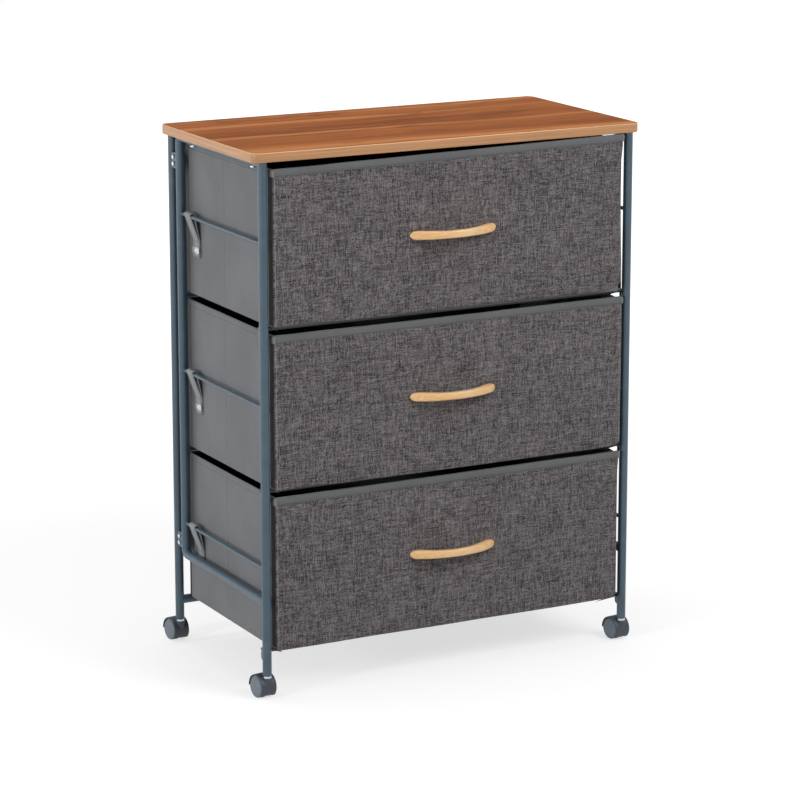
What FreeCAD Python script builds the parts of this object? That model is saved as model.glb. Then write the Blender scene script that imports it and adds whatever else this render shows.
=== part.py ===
import FreeCAD, Part
import math
import os
import Sketcher

# Rolling three-drawer fabric dresser, in millimetres.
# +X is the right-hand side, -Y is the front, +Z is up and the floor is z = 0.
# Two welded side frames carry round guide rods, the fabric drawers slide on
# front rails and hang from the rods by webbing slings, and four twin-wheel
# casters plug into the post ends.

doc = FreeCAD.newDocument("FabricDresser")
sheet = doc.addObject("Spreadsheet::Sheet", "Sizes")


class Size:
    """A length that carries its value and the sheet expression behind it."""

    def __init__(self, value, text):
        self.value = float(value)
        self.text = text

    def join(self, other, sign, value, flip=False):
        text = other.text if isinstance(other, Size) else repr(float(other))
        first, second = (text, self.text) if flip else (self.text, text)
        return Size(value, f"({first} {sign} {second})")

    def __add__(self, other):
        return self.join(other, "+", self.value + number(other))

    def __radd__(self, other):
        return self.join(other, "+", number(other) + self.value, True)

    def __sub__(self, other):
        return self.join(other, "-", self.value - number(other))

    def __rsub__(self, other):
        return self.join(other, "-", number(other) - self.value, True)

    def __mul__(self, other):
        return self.join(other, "*", self.value * number(other))

    def __rmul__(self, other):
        return self.join(other, "*", number(other) * self.value, True)

    def __truediv__(self, other):
        return self.join(other, "/", self.value / number(other))

    def __neg__(self):
        return self.join(-1.0, "*", -self.value)


def number(item):
    return item.value if isinstance(item, Size) else float(item)


def sine(angle):
    return Size(math.sin(math.radians(angle.value)), f"sin({angle.text} * 1deg)")


def cosine(angle):
    return Size(math.cos(math.radians(angle.value)), f"cos({angle.text} * 1deg)")


sheet_rows = []


def size(name, value, note):
    row = len(sheet_rows) + 1
    sheet_rows.append(name)
    sheet.set(f"A{row}", note)
    sheet.set(f"B{row}", str(value))
    sheet.setAlias(f"B{row}", name)
    return Size(value, f"Sizes.{name}")


# Frame
post_span_x = size("post_span_x", 570, "between post centres, side to side")
post_span_y = size("post_span_y", 296, "between post centres, front to back")
post_length = size("post_length", 714, "post tube length")
tube_od = size("tube_od", 12.7, "frame tube outside diameter")
tube_wall = size("tube_wall", 1.2, "frame tube wall")
loop_setback = size("loop_setback", 26, "side loop upright ahead of the rear post")
loop_rise = size("loop_rise", 105, "side loop's lower run above the post ends")
loop_bend = size("loop_bend", 8, "centreline radius of the side loop bends")
rod_od = size("rod_od", 5.5, "guide rod diameter")
rod_rise = size("rod_rise", 116, "guide rod above the drawer floor")
bracket_thick = size("bracket_thick", 8, "loop bracket width across")
bracket_height = size("bracket_height", 22, "loop bracket height")
bracket_inset = size("bracket_inset", 37, "bracket centre below the post top")
bracket_rise = size("bracket_rise", 19, "lower bracket above the loop's lower run")
bracket_pitch = size("bracket_pitch", 9.5, "between the two screws of a bracket")
small_screw = size("small_screw", 4, "bracket screw shank diameter")
small_head = size("small_head", 6.4, "bracket screw head diameter")
small_head_height = size("small_head_height", 2.2, "bracket screw head height")

# Top
board_side = size("board_side", 9.65, "top past the frame tubes, each side")
board_end = size("board_end", 0.65, "top past the posts, front and rear")
board_thick = size("board_thick", 13, "top thickness")
board_corner = size("board_corner", 12, "corner radius of the top")
band_thick = size("band_thick", 1, "edge banding thickness")
loop_seat = size("loop_seat", 4.5, "depth of the grooves that seat the side loops")
seat_slack = size("seat_slack", 0.5, "groove width over the tube's")
board_screw = size("board_screw", 3.8, "board screw shank diameter")
board_screw_bite = size("board_screw_bite", 4, "board screw depth in the board above the loop")
board_screw_head = size("board_screw_head", 8, "board screw head diameter")
board_screw_cap = size("board_screw_cap", 2.4, "board screw head height")
board_screw_front = size("board_screw_front", 28, "front board screw behind its post")
board_screw_rear = size("board_screw_rear", 46, "rear board screw ahead of the loop upright")
screw_slack = size("screw_slack", 0.4, "clearance on diameter of a screw hole")

# Drawers
floor_rise = size("floor_rise", 35.5, "bottom drawer above the post ends")
drawer_gap = size("drawer_gap", 5.65, "drawer side clear of the posts")
drawer_room = size("drawer_room", 10, "top drawer below the board")
box_back = size("box_back", 14, "fabric box ahead of the rear post centres")
cloth = size("cloth", 2, "fabric wall of the box")
box_corner = size("box_corner", 6, "corner radius of the fabric box")
panel_thick = size("panel_thick", 4, "covered front panel thickness")
panel_round = size("panel_round", 1.5, "rounded edge of the front panel")
front_proud = size("front_proud", 8, "drawer face ahead of the post centres")
base_thick = size("base_thick", 3, "base board thickness")
base_slack = size("base_slack", 0.5, "base board clearance in the box")
run_gap = size("run_gap", 0.3, "drawer above its front rail")

# Front rails and their brackets
rail_depth = size("rail_depth", 12, "front rail front to back")
rail_height = size("rail_height", 4, "front rail height")
rail_clear = size("rail_clear", 5.2, "drawer top below the next front rail")
rail_set = size("rail_set", 12.4, "front rail centre behind the post centre")
rail_reach = size("rail_reach", 0.5, "front rail end past the post centre")
tab_width = size("tab_width", 5, "rail bracket width")
tab_reach = size("tab_reach", 14, "rail bracket end behind the post centre")
tab_height = size("tab_height", 11.5, "rail bracket height")
tab_round = size("tab_round", 5, "rounded lower corner of the rail bracket")
bar_set = size("bar_set", 6.65, "rear crossbar centre below a drawer's floor")

# Handles
handle_length = size("handle_length", 134, "handle over its feet")
handle_gap = size("handle_gap", 17, "finger room behind the handle")
handle_thick = size("handle_thick", 9, "handle thickness at its middle")
handle_foot = size("handle_foot", 15, "length of each handle foot")
handle_tall = size("handle_tall", 12, "handle height")
handle_round = size("handle_round", 2.5, "rounded edge of the handle")
handle_lift = size("handle_lift", 110, "handle centre above the drawer floor")
handle_screw = size("handle_screw", 3.9, "handle screw shank diameter")
handle_screw_in = size("handle_screw_in", 11, "handle screw centre in from the foot end")
handle_screw_bite = size("handle_screw_bite", 5.5, "handle screw depth in the wood")
handle_screw_head = size("handle_screw_head", 8, "handle screw head diameter")
handle_screw_cap = size("handle_screw_cap", 2.2, "handle screw head height")

# Webbing slings
strap_in = size("strap_in", 42, "sling centre ahead of the fabric box's rear")
strap_width = size("strap_width", 20, "webbing width")
strap_thick = size("strap_thick", 1.2, "webbing thickness")
strap_slack = size("strap_slack", 0.45, "sling clearance around the rod")
strap_drop = size("strap_drop", 35, "rod to the top of the sewn end")
strap_sewn = size("strap_sewn", 24, "length of the sewn end")
clip_side = size("clip_side", 1, "strap clip past the webbing, each side")
clip_height = size("clip_height", 9, "strap clip height")
clip_thick = size("clip_thick", 1.5, "strap clip thickness")
clip_in = size("clip_in", 14, "strap clip centre below the top of the sewn end")

# Casters
wheel_od = size("wheel_od", 31, "caster wheel diameter")
post_rise = size("post_rise", 2, "post end above the top of the wheel")
wheel_width = size("wheel_width", 7.4, "caster wheel width")
wheel_round = size("wheel_round", 0.8, "wheel edge chamfer")
wheel_gap = size("wheel_gap", 0.4, "wheel clear of the hood web")
well_gap = size("well_gap", 0.7, "wheel clear of the hood shell")
web_width = size("web_width", 7.8, "hood web between the wheels")
hood_wall = size("hood_wall", 1.5, "hood shell thickness")
hood_lip = size("hood_lip", 0.5, "hood past the wheel face, each side")
hood_front = size("hood_front", 11.8, "hood front edge below the axle")
hood_rear = size("hood_rear", 1.5, "hood rear edge below the axle")
web_low = size("web_low", 7, "web below the axle")
boss_od = size("boss_od", 12.6, "stem boss diameter")
trail = size("trail", 12, "axle behind the stem")
rest_turn = size("rest_turn", 7, "casters' swivel at rest, degrees")
axle_od = size("axle_od", 4, "caster axle diameter")
axle_end = size("axle_end", 0.5, "axle end inside the wheel face")
axle_fit = size("axle_fit", 0.05, "wheel on axle, radial clearance")
collar_od = size("collar_od", 12.1, "stem collar diameter")
collar_height = size("collar_height", 2.7, "stem collar height")
stem_plug = size("stem_plug", 30, "stem length inside the post")
pivot_od = size("pivot_od", 5, "stem journal diameter")
pivot_fit = size("pivot_fit", 0.05, "journal in the hood, radial clearance")
pivot_end = size("pivot_end", 20, "stem journal below the collar")
collar_gap = size("collar_gap", 0.1, "hood boss below the collar")
collar_room = size("collar_room", 0.5, "hood clear around the collar")

doc.recompute()

# Places that several pieces share
post_x = post_span_x / 2
post_y = post_span_y / 2
tube_r = tube_od / 2
caster_height = wheel_od + post_rise
post_top = caster_height + post_length
loop_y = post_y - loop_setback
loop_top = post_top - tube_r + loop_seat
loop_low = caster_height + loop_rise
bracket_low = loop_low + bracket_rise
board_width = post_span_x + tube_od + board_side * 2
board_depth = post_span_y + tube_od + board_end * 2
board_screw_pitch = loop_y + post_y - board_screw_front - board_screw_rear
floor_low = caster_height + floor_rise
drawer_between = run_gap + rail_height + rail_clear
drawer_height = (post_top - floor_low - drawer_room - drawer_between * 2) / 3
drawer_pitch = drawer_height + drawer_between
drawer_width = post_span_x - tube_od - drawer_gap * 2
floors = {"bottom": floor_low}
floors["middle"] = floor_low + drawer_pitch
floors["top"] = floor_low + drawer_pitch * 2
face_y = -post_y - front_proud
panel_back = face_y + panel_thick
box_rear = post_y - box_back
box_depth = box_rear - panel_back
side_gap = tube_r + drawer_gap
handle_rise = handle_gap + handle_thick
strap_place = box_rear - strap_in
strap_end = strap_drop + strap_sewn
clip_drop = strap_drop + clip_in
clip_width = strap_width + clip_side * 2
wheel_r = wheel_od / 2
hood_r = wheel_r + well_gap + hood_wall
hood_width = web_width + (wheel_gap + wheel_width + hood_lip) * 2
boss_top = caster_height - collar_height - collar_gap
corners = {"front_left": (-1, -1), "front_right": (1, -1)}
corners.update({"rear_left": (-1, 1), "rear_right": (1, 1)})

nodes = []


def place(item, x, y, z, axis=None, turn=None):
    for letter, value in zip("xyz", (x, y, z)):
        item.setExpression(f"Placement.Base.{letter}", value.text)
    if turn is not None:
        item.Placement = FreeCAD.Placement(item.Placement.Base, FreeCAD.Rotation(axis, turn.value))
        item.setExpression("Placement.Rotation.Angle", turn.text)


def body(label):
    item = doc.addObject("PartDesign::Body", label)
    item.Label = label
    return item


def sketch(owner, role, offset=None):
    item = owner.newObject("Sketcher::SketchObject", owner.Label + "_sketch")
    flat = [f for f in owner.Origin.OriginFeatures if f.Role == role][0]
    item.AttachmentSupport = [(flat, "")]
    item.MapMode = "FlatFace"
    if offset is not None:
        item.setExpression("AttachmentOffset.Base.z", offset.text)
    return item


def bind(item, constraint, value):
    index = item.addConstraint(constraint)
    if isinstance(value, Size):
        item.setExpression(f"Constraints[{index}]", value.text)


def at(item, geo, end, x, y):
    """Hold one end or the centre of a curve at x, y of the sketch."""
    for kind, value in (("DistanceX", x), ("DistanceY", y)):
        if value is None:
            continue
        bind(item, Sketcher.Constraint(kind, -1, 1, geo, end, number(value)), value)


def circle(item, x, y, radius):
    centre = FreeCAD.Vector(number(x), number(y), 0)
    geo = item.addGeometry(Part.Circle(centre, FreeCAD.Vector(0, 0, 1), number(radius)), False)
    at(item, geo, 3, x, y)
    bind(item, Sketcher.Constraint("Radius", geo, number(radius)), radius)
    return geo


def polygon(item, points):
    """A closed outline through points, each held by its own two lengths."""
    count = len(points)
    spots = [FreeCAD.Vector(number(x), number(y), 0) for x, y in points]
    first = item.GeometryCount
    for i in range(count):
        item.addGeometry(Part.LineSegment(spots[i], spots[(i + 1) % count]), False)
    for i in range(count):
        after = first + (i + 1) % count
        item.addConstraint(Sketcher.Constraint("Coincident", first + i, 2, after, 1))
        at(item, first + i, 1, points[i][0], points[i][1])
    return first


def rectangle(item, x, y, width, depth):
    left, right = x - width / 2, x + width / 2
    low, high = y - depth / 2, y + depth / 2
    return polygon(item, [(left, low), (right, low), (right, high), (left, high)])


zero = Size(0, "0")


def pad(owner, outline, length, symmetric=True, flip=False):
    item = owner.newObject("PartDesign::Pad", owner.Label + "_pad")
    item.Profile = outline
    item.setExpression("Length", length.text)
    item.SideType = "Symmetric" if symmetric else "One side"
    item.Reversed = flip
    owner.Tip = item
    return item


def pocket(owner, outline, length, symmetric=True, flip=False):
    doc.recompute()
    before = owner.Shape.Volume
    item = owner.newObject("PartDesign::Pocket", owner.Label + "_pocket")
    item.Profile = outline
    item.setExpression("Length", length.text)
    item.SideType = "Symmetric" if symmetric else "One side"
    item.Reversed = flip
    owner.Tip = item
    doc.recompute()
    if not owner.Shape.Volume < before:
        raise RuntimeError(f"{owner.Label}: a pocket removes nothing")
    return item


def edge_names(shape, test):
    return [f"Edge{i + 1}" for i, edge in enumerate(shape.Edges) if test(edge)]


def upright(edge):
    spots = edge.Vertexes
    if len(spots) < 2:
        return False
    gap = spots[1].Point - spots[0].Point
    return abs(gap.z) > 1e-3 and math.hypot(gap.x, gap.y) < 1e-4


def fillet(owner, base, radius, test):
    doc.recompute()
    item = owner.newObject("PartDesign::Fillet", owner.Label + "_fillet")
    item.Base = (base, edge_names(base.Shape, test))
    item.setExpression("Radius", radius.text)
    owner.Tip = item
    doc.recompute()
    return item


def keep(item, label=None):
    nodes.append((label or item.Label, item))
    return item


def group(label, copies):
    """Identical small pieces kept as one node of separate solids."""
    item = doc.addObject("Part::Compound", label)
    item.Label = label
    item.Links = copies
    return keep(item)


# Posts: round tube on end, the caster stem goes in from below
def post(label, side, end):
    item = body(label)
    ring = sketch(item, "XY_Plane")
    circle(ring, zero, zero, tube_r)
    circle(ring, zero, zero, tube_r - tube_wall)
    pad(item, ring, post_length)
    place(item, post_x * side, post_y * end, caster_height + post_length / 2)
    return keep(item)


for name, (side, end) in corners.items():
    post(name + "_post", side, end)


def saddle(owner, role, x, y, radius, length):
    """Cut an end to the round of the tube it is welded to."""
    outline = sketch(owner, role)
    circle(outline, x, y, radius)
    pocket(owner, outline, length)


def bore(owner, role, spots, diameter, length):
    outline = sketch(owner, role)
    for x, y in spots:
        circle(outline, x, y, diameter / 2)
    pocket(owner, outline, length)


# Side loops: one bent tube each, welded to the back of the front post
def side_loop(label, side):
    item = body(label)
    path = sketch(item, "YZ_Plane")
    run = loop_y + post_y
    rise = loop_top - loop_low
    low, high, far, bend = 0.0, rise.value, run.value, loop_bend.value
    vector = FreeCAD.Vector
    up = vector(0, 0, 1)
    lower = path.addGeometry(Part.LineSegment(vector(0, low, 0), vector(far - bend, low, 0)))
    turn = Part.Circle(vector(far - bend, low + bend, 0), up, bend)
    foot = path.addGeometry(Part.ArcOfCircle(turn, -math.pi / 2, 0))
    riser = path.addGeometry(Part.LineSegment(vector(far, bend, 0), vector(far, high - bend, 0)))
    turn = Part.Circle(vector(far - bend, high - bend, 0), up, bend)
    head = path.addGeometry(Part.ArcOfCircle(turn, 0, math.pi / 2))
    upper = path.addGeometry(Part.LineSegment(vector(far - bend, high, 0), vector(0, high, 0)))
    path.addConstraint(Sketcher.Constraint("Coincident", lower, 1, -1, 1))
    path.addConstraint(Sketcher.Constraint("Tangent", lower, 2, foot, 1))
    path.addConstraint(Sketcher.Constraint("Tangent", foot, 2, riser, 1))
    path.addConstraint(Sketcher.Constraint("Tangent", riser, 2, head, 1))
    path.addConstraint(Sketcher.Constraint("Tangent", head, 2, upper, 1))
    path.addConstraint(Sketcher.Constraint("Horizontal", lower))
    path.addConstraint(Sketcher.Constraint("Horizontal", upper))
    path.addConstraint(Sketcher.Constraint("Vertical", riser))
    bind(path, Sketcher.Constraint("Radius", foot, bend), loop_bend)
    bind(path, Sketcher.Constraint("Radius", head, bend), loop_bend)
    at(path, riser, 1, run, None)
    at(path, upper, 2, zero, rise)
    ring = sketch(item, "XZ_Plane")
    circle(ring, zero, zero, tube_r)
    circle(ring, zero, zero, tube_r - tube_wall)
    pipe = item.newObject("PartDesign::AdditivePipe", label + "_pipe")
    pipe.Profile = ring
    pipe.Spine = path
    item.Tip = pipe
    doc.recompute()
    saddle(item, "XY_Plane", zero, zero, tube_r, rise * 3)
    spots = [(zero, board_screw_front), (zero, board_screw_front + board_screw_pitch)]
    outline = sketch(item, "XY_Plane", rise)
    for x, y in spots:
        circle(outline, x, y, (board_screw + screw_slack) / 2)
    pocket(item, outline, tube_od * 2)
    place(item, post_x * side, -post_y, loop_low)
    return keep(item)


side_loop("left_side_loop", -1)
side_loop("right_side_loop", 1)


# Guide rods: three a side, saddled to the front post and to the loop upright
def guide_rod(label, side, floor):
    item = body(label)
    outline = sketch(item, "XZ_Plane")
    circle(outline, zero, zero, rod_od / 2)
    span = loop_y + post_y
    pad(item, outline, span)
    saddle(item, "XY_Plane", zero, -span / 2, tube_r, tube_od)
    saddle(item, "XY_Plane", zero, span / 2, tube_r, tube_od)
    place(item, post_x * side, (loop_y - post_y) / 2, floor + rod_rise)
    return keep(item)


for side_name, side in (("left", -1), ("right", 1)):
    for level, floor in floors.items():
        guide_rod(f"{side_name}_{level}_guide_rod", side, floor)


# Rear crossbars between the rear posts, one just under each drawer's floor
def rear_crossbar(level, floor):
    item = body(level + "_crossbar")
    ring = sketch(item, "YZ_Plane")
    circle(ring, zero, zero, tube_r)
    circle(ring, zero, zero, tube_r - tube_wall)
    pad(item, ring, post_span_x)
    saddle(item, "XY_Plane", -post_x, zero, tube_r, tube_od * 2)
    saddle(item, "XY_Plane", post_x, zero, tube_r, tube_od * 2)
    place(item, zero, post_y, floor - bar_set)
    return item


group("rear_crossbars", [rear_crossbar(level, floor) for level, floor in floors.items()])


# Front rails: the flat bars that the drawers slide over
def front_rail(level, floor):
    item = body(level + "_front_rail")
    outline = sketch(item, "YZ_Plane")
    rectangle(outline, zero, zero, rail_depth, rail_height)
    pad(item, outline, post_span_x + rail_reach * 2)
    place(item, zero, -post_y + rail_set, floor - run_gap - rail_height / 2)
    return keep(item)


def rail_tab(level, floor, side):
    """Bracket welded behind a front post, with its lower rear corner rounded."""
    side_name = "left" if side < 0 else "right"
    item = body(f"{level}_{side_name}_tab")
    outline = sketch(item, "YZ_Plane")
    rectangle(outline, tab_reach / 2, -tab_height / 2, tab_reach, tab_height)
    block = pad(item, outline, tab_width)

    def low_rear(edge):
        spots = [v.Point for v in edge.Vertexes]
        return len(spots) == 2 and all(
            abs(p.y - tab_reach.value) < 1e-3 and abs(p.z + tab_height.value) < 1e-3 for p in spots
        )

    fillet(item, block, tab_round, low_rear)
    saddle(item, "XY_Plane", zero, zero, tube_r, tab_height * 3)
    place(item, post_x * side, -post_y, floor - run_gap - rail_height)
    return item


tabs = []
for level, floor in floors.items():
    front_rail(level, floor)
    tabs.append(rail_tab(level, floor, -1))
    tabs.append(rail_tab(level, floor, 1))
group("rail_brackets", tabs)


# Brackets that bolt each side loop to its rear post
def loop_bracket(label, side, height):
    item = body(label)
    outline = sketch(item, "YZ_Plane")
    rectangle(outline, zero, zero, loop_setback, bracket_height)
    pad(item, outline, bracket_thick)
    saddle(item, "XY_Plane", zero, -loop_setback / 2, tube_r, bracket_height * 2)
    saddle(item, "XY_Plane", zero, loop_setback / 2, tube_r, bracket_height * 2)
    spots = [(zero, -bracket_pitch / 2), (zero, bracket_pitch / 2)]
    bore(item, "YZ_Plane", spots, small_screw, bracket_thick * 2)
    place(item, post_x * side, post_y - loop_setback / 2, height)
    return item


def stud(label, shank, shank_length, head, head_height):
    """Pan-head screw on +Z: shank from z = 0 up, head below."""
    item = body(label)
    outline = sketch(item, "XZ_Plane")
    outline_points = [(zero, -head_height), (head / 2, -head_height), (head / 2, zero)]
    outline_points += [(shank / 2, zero), (shank / 2, shank_length), (zero, shank_length)]
    polygon(outline, outline_points)
    turn = item.newObject("PartDesign::Revolution", label + "_turn")
    turn.Profile = outline
    turn.ReferenceAxis = (outline, ["V_Axis"])
    turn.Angle = 360
    item.Tip = turn
    doc.recompute()

    def low_rim(edge):
        return all(abs(v.Point.z + head_height.value) < 1e-3 for v in edge.Vertexes) and hasattr(
            edge.Curve, "Radius"
        )

    fillet(item, turn, head_height * 0.35, low_rim)
    return item


def rotated(item, axis, degrees):
    item.Placement = FreeCAD.Placement(FreeCAD.Vector(), FreeCAD.Rotation(axis, degrees))


brackets = []
bracket_screws = []
heights = (("upper", post_top - bracket_inset), ("lower", bracket_low))
for side_name, side in (("left", -1), ("right", 1)):
    for level, height in heights:
        brackets.append(loop_bracket(f"{side_name}_{level}_bracket", side, height))
        for count, lift in (("one", -bracket_pitch / 2), ("two", bracket_pitch / 2)):
            label = f"{side_name}_{level}_screw_{count}"
            screw = stud(label, small_screw, bracket_thick, small_head, small_head_height)
            rotated(screw, FreeCAD.Vector(0, 1, 0), -90 * side)
            outer = post_x * side + bracket_thick * side / 2
            place(screw, outer, post_y - loop_setback / 2, height + lift)
            bracket_screws.append(screw)
group("loop_brackets", brackets)
group("bracket_screws", bracket_screws)


# Top board with its edge banding, fixed from below through the side loops
def rounded_plate(owner, width, depth, thick, radius):
    outline = sketch(owner, "XY_Plane")
    rectangle(outline, zero, zero, width, depth)
    plate = pad(owner, outline, thick)
    return fillet(owner, plate, radius, upright)


board = body("top_board")
core_width = board_width - band_thick * 2
core_depth = board_depth - band_thick * 2
rounded_plate(board, core_width, core_depth, board_thick, board_corner - band_thick)
screw_y = -post_y + board_screw_front
screw_spots = []
for side in (-1, 1):
    for back in (zero, board_screw_pitch):
        screw_spots.append((post_x * side, screw_y + back))
outline = sketch(board, "XY_Plane", -board_thick / 2)
for x, y in screw_spots:
    circle(outline, x, y, board_screw / 2)
pocket(board, outline, (board_screw_bite + loop_seat) * 2)
outline = sketch(board, "XY_Plane", -board_thick / 2)
groove = post_y + loop_y + tube_r + seat_slack
for side in (-1, 1):
    rectangle(outline, post_x * side, groove / 2 - post_y, tube_od + seat_slack, groove)
pocket(board, outline, loop_seat * 2)
place(board, zero, zero, post_top + board_thick / 2)
keep(board)


def solid(label, width, depth, thick, radius):
    item = body(label)
    rounded_plate(item, width, depth, thick, radius)
    return item


band_outer = solid("band_outer", board_width, board_depth, board_thick, board_corner)
band_inner = solid("band_inner", core_width, core_depth, board_thick, board_corner - band_thick)
band = doc.addObject("Part::Cut", "top_edge_band")
band.Label = "top_edge_band"
band.Base = band_outer
band.Tool = band_inner
place(band, zero, zero, post_top + board_thick / 2)
keep(band)

board_screws = []
screw_length = tube_od + board_screw_bite
for index, (x, y) in enumerate(screw_spots):
    label = f"board_screw_{index}"
    screw = stud(label, board_screw, screw_length, board_screw_head, board_screw_cap)
    place(screw, x, y, post_top - tube_od + loop_seat)
    board_screws.append(screw)
group("board_screws", board_screws)


# Drawers: fabric box, covered front panel, base board, bow handle, slings
def drawer(level, floor):
    box = body(level + "_drawer_box")
    outline = sketch(box, "XY_Plane")
    rectangle(outline, zero, zero, drawer_width, box_depth)
    block = pad(box, outline, drawer_height, symmetric=False)
    fillet(box, block, box_corner, upright)
    hollow = sketch(box, "XY_Plane", cloth)
    rectangle(hollow, zero, zero, drawer_width - cloth * 2, box_depth - cloth * 2)
    pocket(box, hollow, drawer_height, symmetric=False, flip=True)
    box_y = panel_back + box_depth / 2
    reach = handle_length / 2 - handle_screw_in
    front = sketch(box, "XZ_Plane", box_depth / 2)
    for side in (-1, 1):
        circle(front, reach * side, handle_lift, handle_screw / 2)
    pocket(box, front, cloth * 4)
    place(box, zero, box_y, floor)
    keep(box)

    panel = body(level + "_drawer_front")
    outline = sketch(panel, "XZ_Plane")
    rectangle(outline, zero, drawer_height / 2, drawer_width, drawer_height)
    block = pad(panel, outline, panel_thick)

    def face_edge(edge):
        spots = [v.Point.y for v in edge.Vertexes]
        return all(abs(y + panel_thick.value / 2) < 1e-3 for y in spots)

    fillet(panel, block, panel_round, face_edge)
    bore(panel, "XZ_Plane", [(-reach, handle_lift), (reach, handle_lift)], handle_screw, panel_thick * 2)
    place(panel, zero, face_y + panel_thick / 2, floor)
    keep(panel)

    base = body(level + "_drawer_base")
    inner_width = drawer_width - (cloth + base_slack) * 2
    inner_depth = box_depth - (cloth + base_slack) * 2
    rounded_plate(base, inner_width, inner_depth, base_thick, box_corner)
    place(base, zero, box_y, floor + cloth + base_thick / 2)
    keep(base)

    keep(bow_handle(level, floor, reach))

    screws = []
    for side_name, side in (("left", -1), ("right", 1)):
        length = cloth + panel_thick + handle_screw_bite
        label = f"{level}_{side_name}_handle_screw"
        screw = stud(label, handle_screw, length, handle_screw_head, handle_screw_cap)
        rotated(screw, FreeCAD.Vector(1, 0, 0), 90)
        place(screw, reach * side, panel_back + cloth, floor + handle_lift)
        screws.append(screw)
    group(level + "_handle_screws", screws)

    slings = []
    clips = []
    for side_name, side in (("left", -1), ("right", 1)):
        slings.append(sling(f"{level}_{side_name}_sling", side, floor))
        clips.append(clip(f"{level}_{side_name}_clip", side, floor))
    group(level + "_drawer_slings", slings)
    group(level + "_sling_clips", clips)


def bow_handle(level, floor, reach):
    item = body(level + "_drawer_handle")
    half = handle_length / 2
    inner_half = half - handle_foot
    outline = sketch(item, "XY_Plane")
    vector = FreeCAD.Vector
    up = vector(0, 0, 1)
    arcs = []
    for span, rise in ((half, handle_rise), (inner_half, handle_gap)):
        radius = (span * span + rise * rise) / (rise * 2)
        away = radius - rise
        swing = math.atan2(span.value, away.value)
        ring = Part.Circle(vector(0, away.value, 0), up, radius.value)
        start, stop = -math.pi / 2 - swing, -math.pi / 2 + swing
        arc = outline.addGeometry(Part.ArcOfCircle(ring, start, stop))
        at(outline, arc, 1, -span, zero)
        at(outline, arc, 2, span, zero)
        bind(outline, Sketcher.Constraint("Radius", arc, radius.value), radius)
        arcs.append(arc)
    for end, side in ((1, -1), (2, 1)):
        first = vector(half.value * side, 0, 0)
        second = vector(inner_half.value * side, 0, 0)
        foot = outline.addGeometry(Part.LineSegment(first, second))
        outline.addConstraint(Sketcher.Constraint("Coincident", foot, 1, arcs[0], end))
        outline.addConstraint(Sketcher.Constraint("Coincident", foot, 2, arcs[1], end))
    block = pad(item, outline, handle_tall)

    def long_edge(edge):
        return hasattr(edge.Curve, "Radius") and edge.Length > 20

    fillet(item, block, handle_round, long_edge)
    bore(item, "XZ_Plane", [(-reach, zero), (reach, zero)], handle_screw, handle_screw_bite * 2)
    place(item, zero, face_y, floor + handle_lift)
    return item


def sling(label, side, floor):
    """Webbing loop over the guide rod, sewn flat to the drawer side below."""
    item = body(label)
    outline = sketch(item, "XZ_Plane")
    inner = rod_od / 2 + strap_slack
    outer = inner + strap_thick
    wall = side_gap * -side
    skin = (side_gap - strap_thick * 2) * -side
    vector = FreeCAD.Vector
    up = vector(0, 0, 1)
    for radius, bottom in ((outer, True), (inner, False)):
        ring = Part.Circle(vector(0, 0, 0), up, radius.value)
        arc = outline.addGeometry(Part.ArcOfCircle(ring, 0, math.pi))
        at(outline, arc, 1, radius, zero)
        at(outline, arc, 2, -radius, zero)
        outline.addConstraint(Sketcher.Constraint("PointOnObject", arc, 3, -1))
        if bottom:
            drop = [(skin, -strap_drop), (skin, -strap_end), (wall, -strap_end), (wall, -strap_drop)]
        else:
            drop = [((wall + skin) / 2, -strap_drop)]
        if side > 0:
            drop = drop[::-1]
        chain = [(-radius, zero)] + drop + [(radius, zero)]
        lines = []
        for start, stop in zip(chain, chain[1:]):
            first = vector(number(start[0]), number(start[1]), 0)
            second = vector(number(stop[0]), number(stop[1]), 0)
            lines.append(outline.addGeometry(Part.LineSegment(first, second)))
        outline.addConstraint(Sketcher.Constraint("Coincident", lines[0], 1, arc, 2))
        outline.addConstraint(Sketcher.Constraint("Coincident", lines[-1], 2, arc, 1))
        for index in range(len(lines) - 1):
            after = lines[index + 1]
            outline.addConstraint(Sketcher.Constraint("Coincident", lines[index], 2, after, 1))
            at(outline, after, 1, chain[index + 1][0], chain[index + 1][1])
    pad(item, outline, strap_width)
    place(item, post_x * side, strap_place, floor + rod_rise)
    return item


def clip(label, side, floor):
    item = body(label)
    outline = sketch(item, "YZ_Plane")
    rectangle(outline, zero, zero, clip_width, clip_height)
    pad(item, outline, clip_thick)
    outer = post_x - side_gap + strap_thick * 2 + clip_thick / 2
    place(item, outer * side, strap_place, floor + rod_rise - clip_drop)
    return item


for level, floor in floors.items():
    drawer(level, floor)


# Casters: stem in the post, hood that swivels on it, two wheels on one axle
def stem(label, side, end):
    item = body(label)
    outline = sketch(item, "XZ_Plane")
    inner = tube_r - tube_wall
    low = -collar_height - pivot_end
    points = [(zero, low), (pivot_od / 2, low), (pivot_od / 2, -collar_height)]
    points += [(collar_od / 2, -collar_height), (collar_od / 2, zero), (inner, zero)]
    points += [(inner, stem_plug), (zero, stem_plug)]
    polygon(outline, points)
    turn = item.newObject("PartDesign::Revolution", label + "_turn")
    turn.Profile = outline
    turn.ReferenceAxis = (outline, ["V_Axis"])
    turn.Angle = 360
    item.Tip = turn
    place(item, post_x * side, post_y * end, caster_height)
    return item


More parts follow.
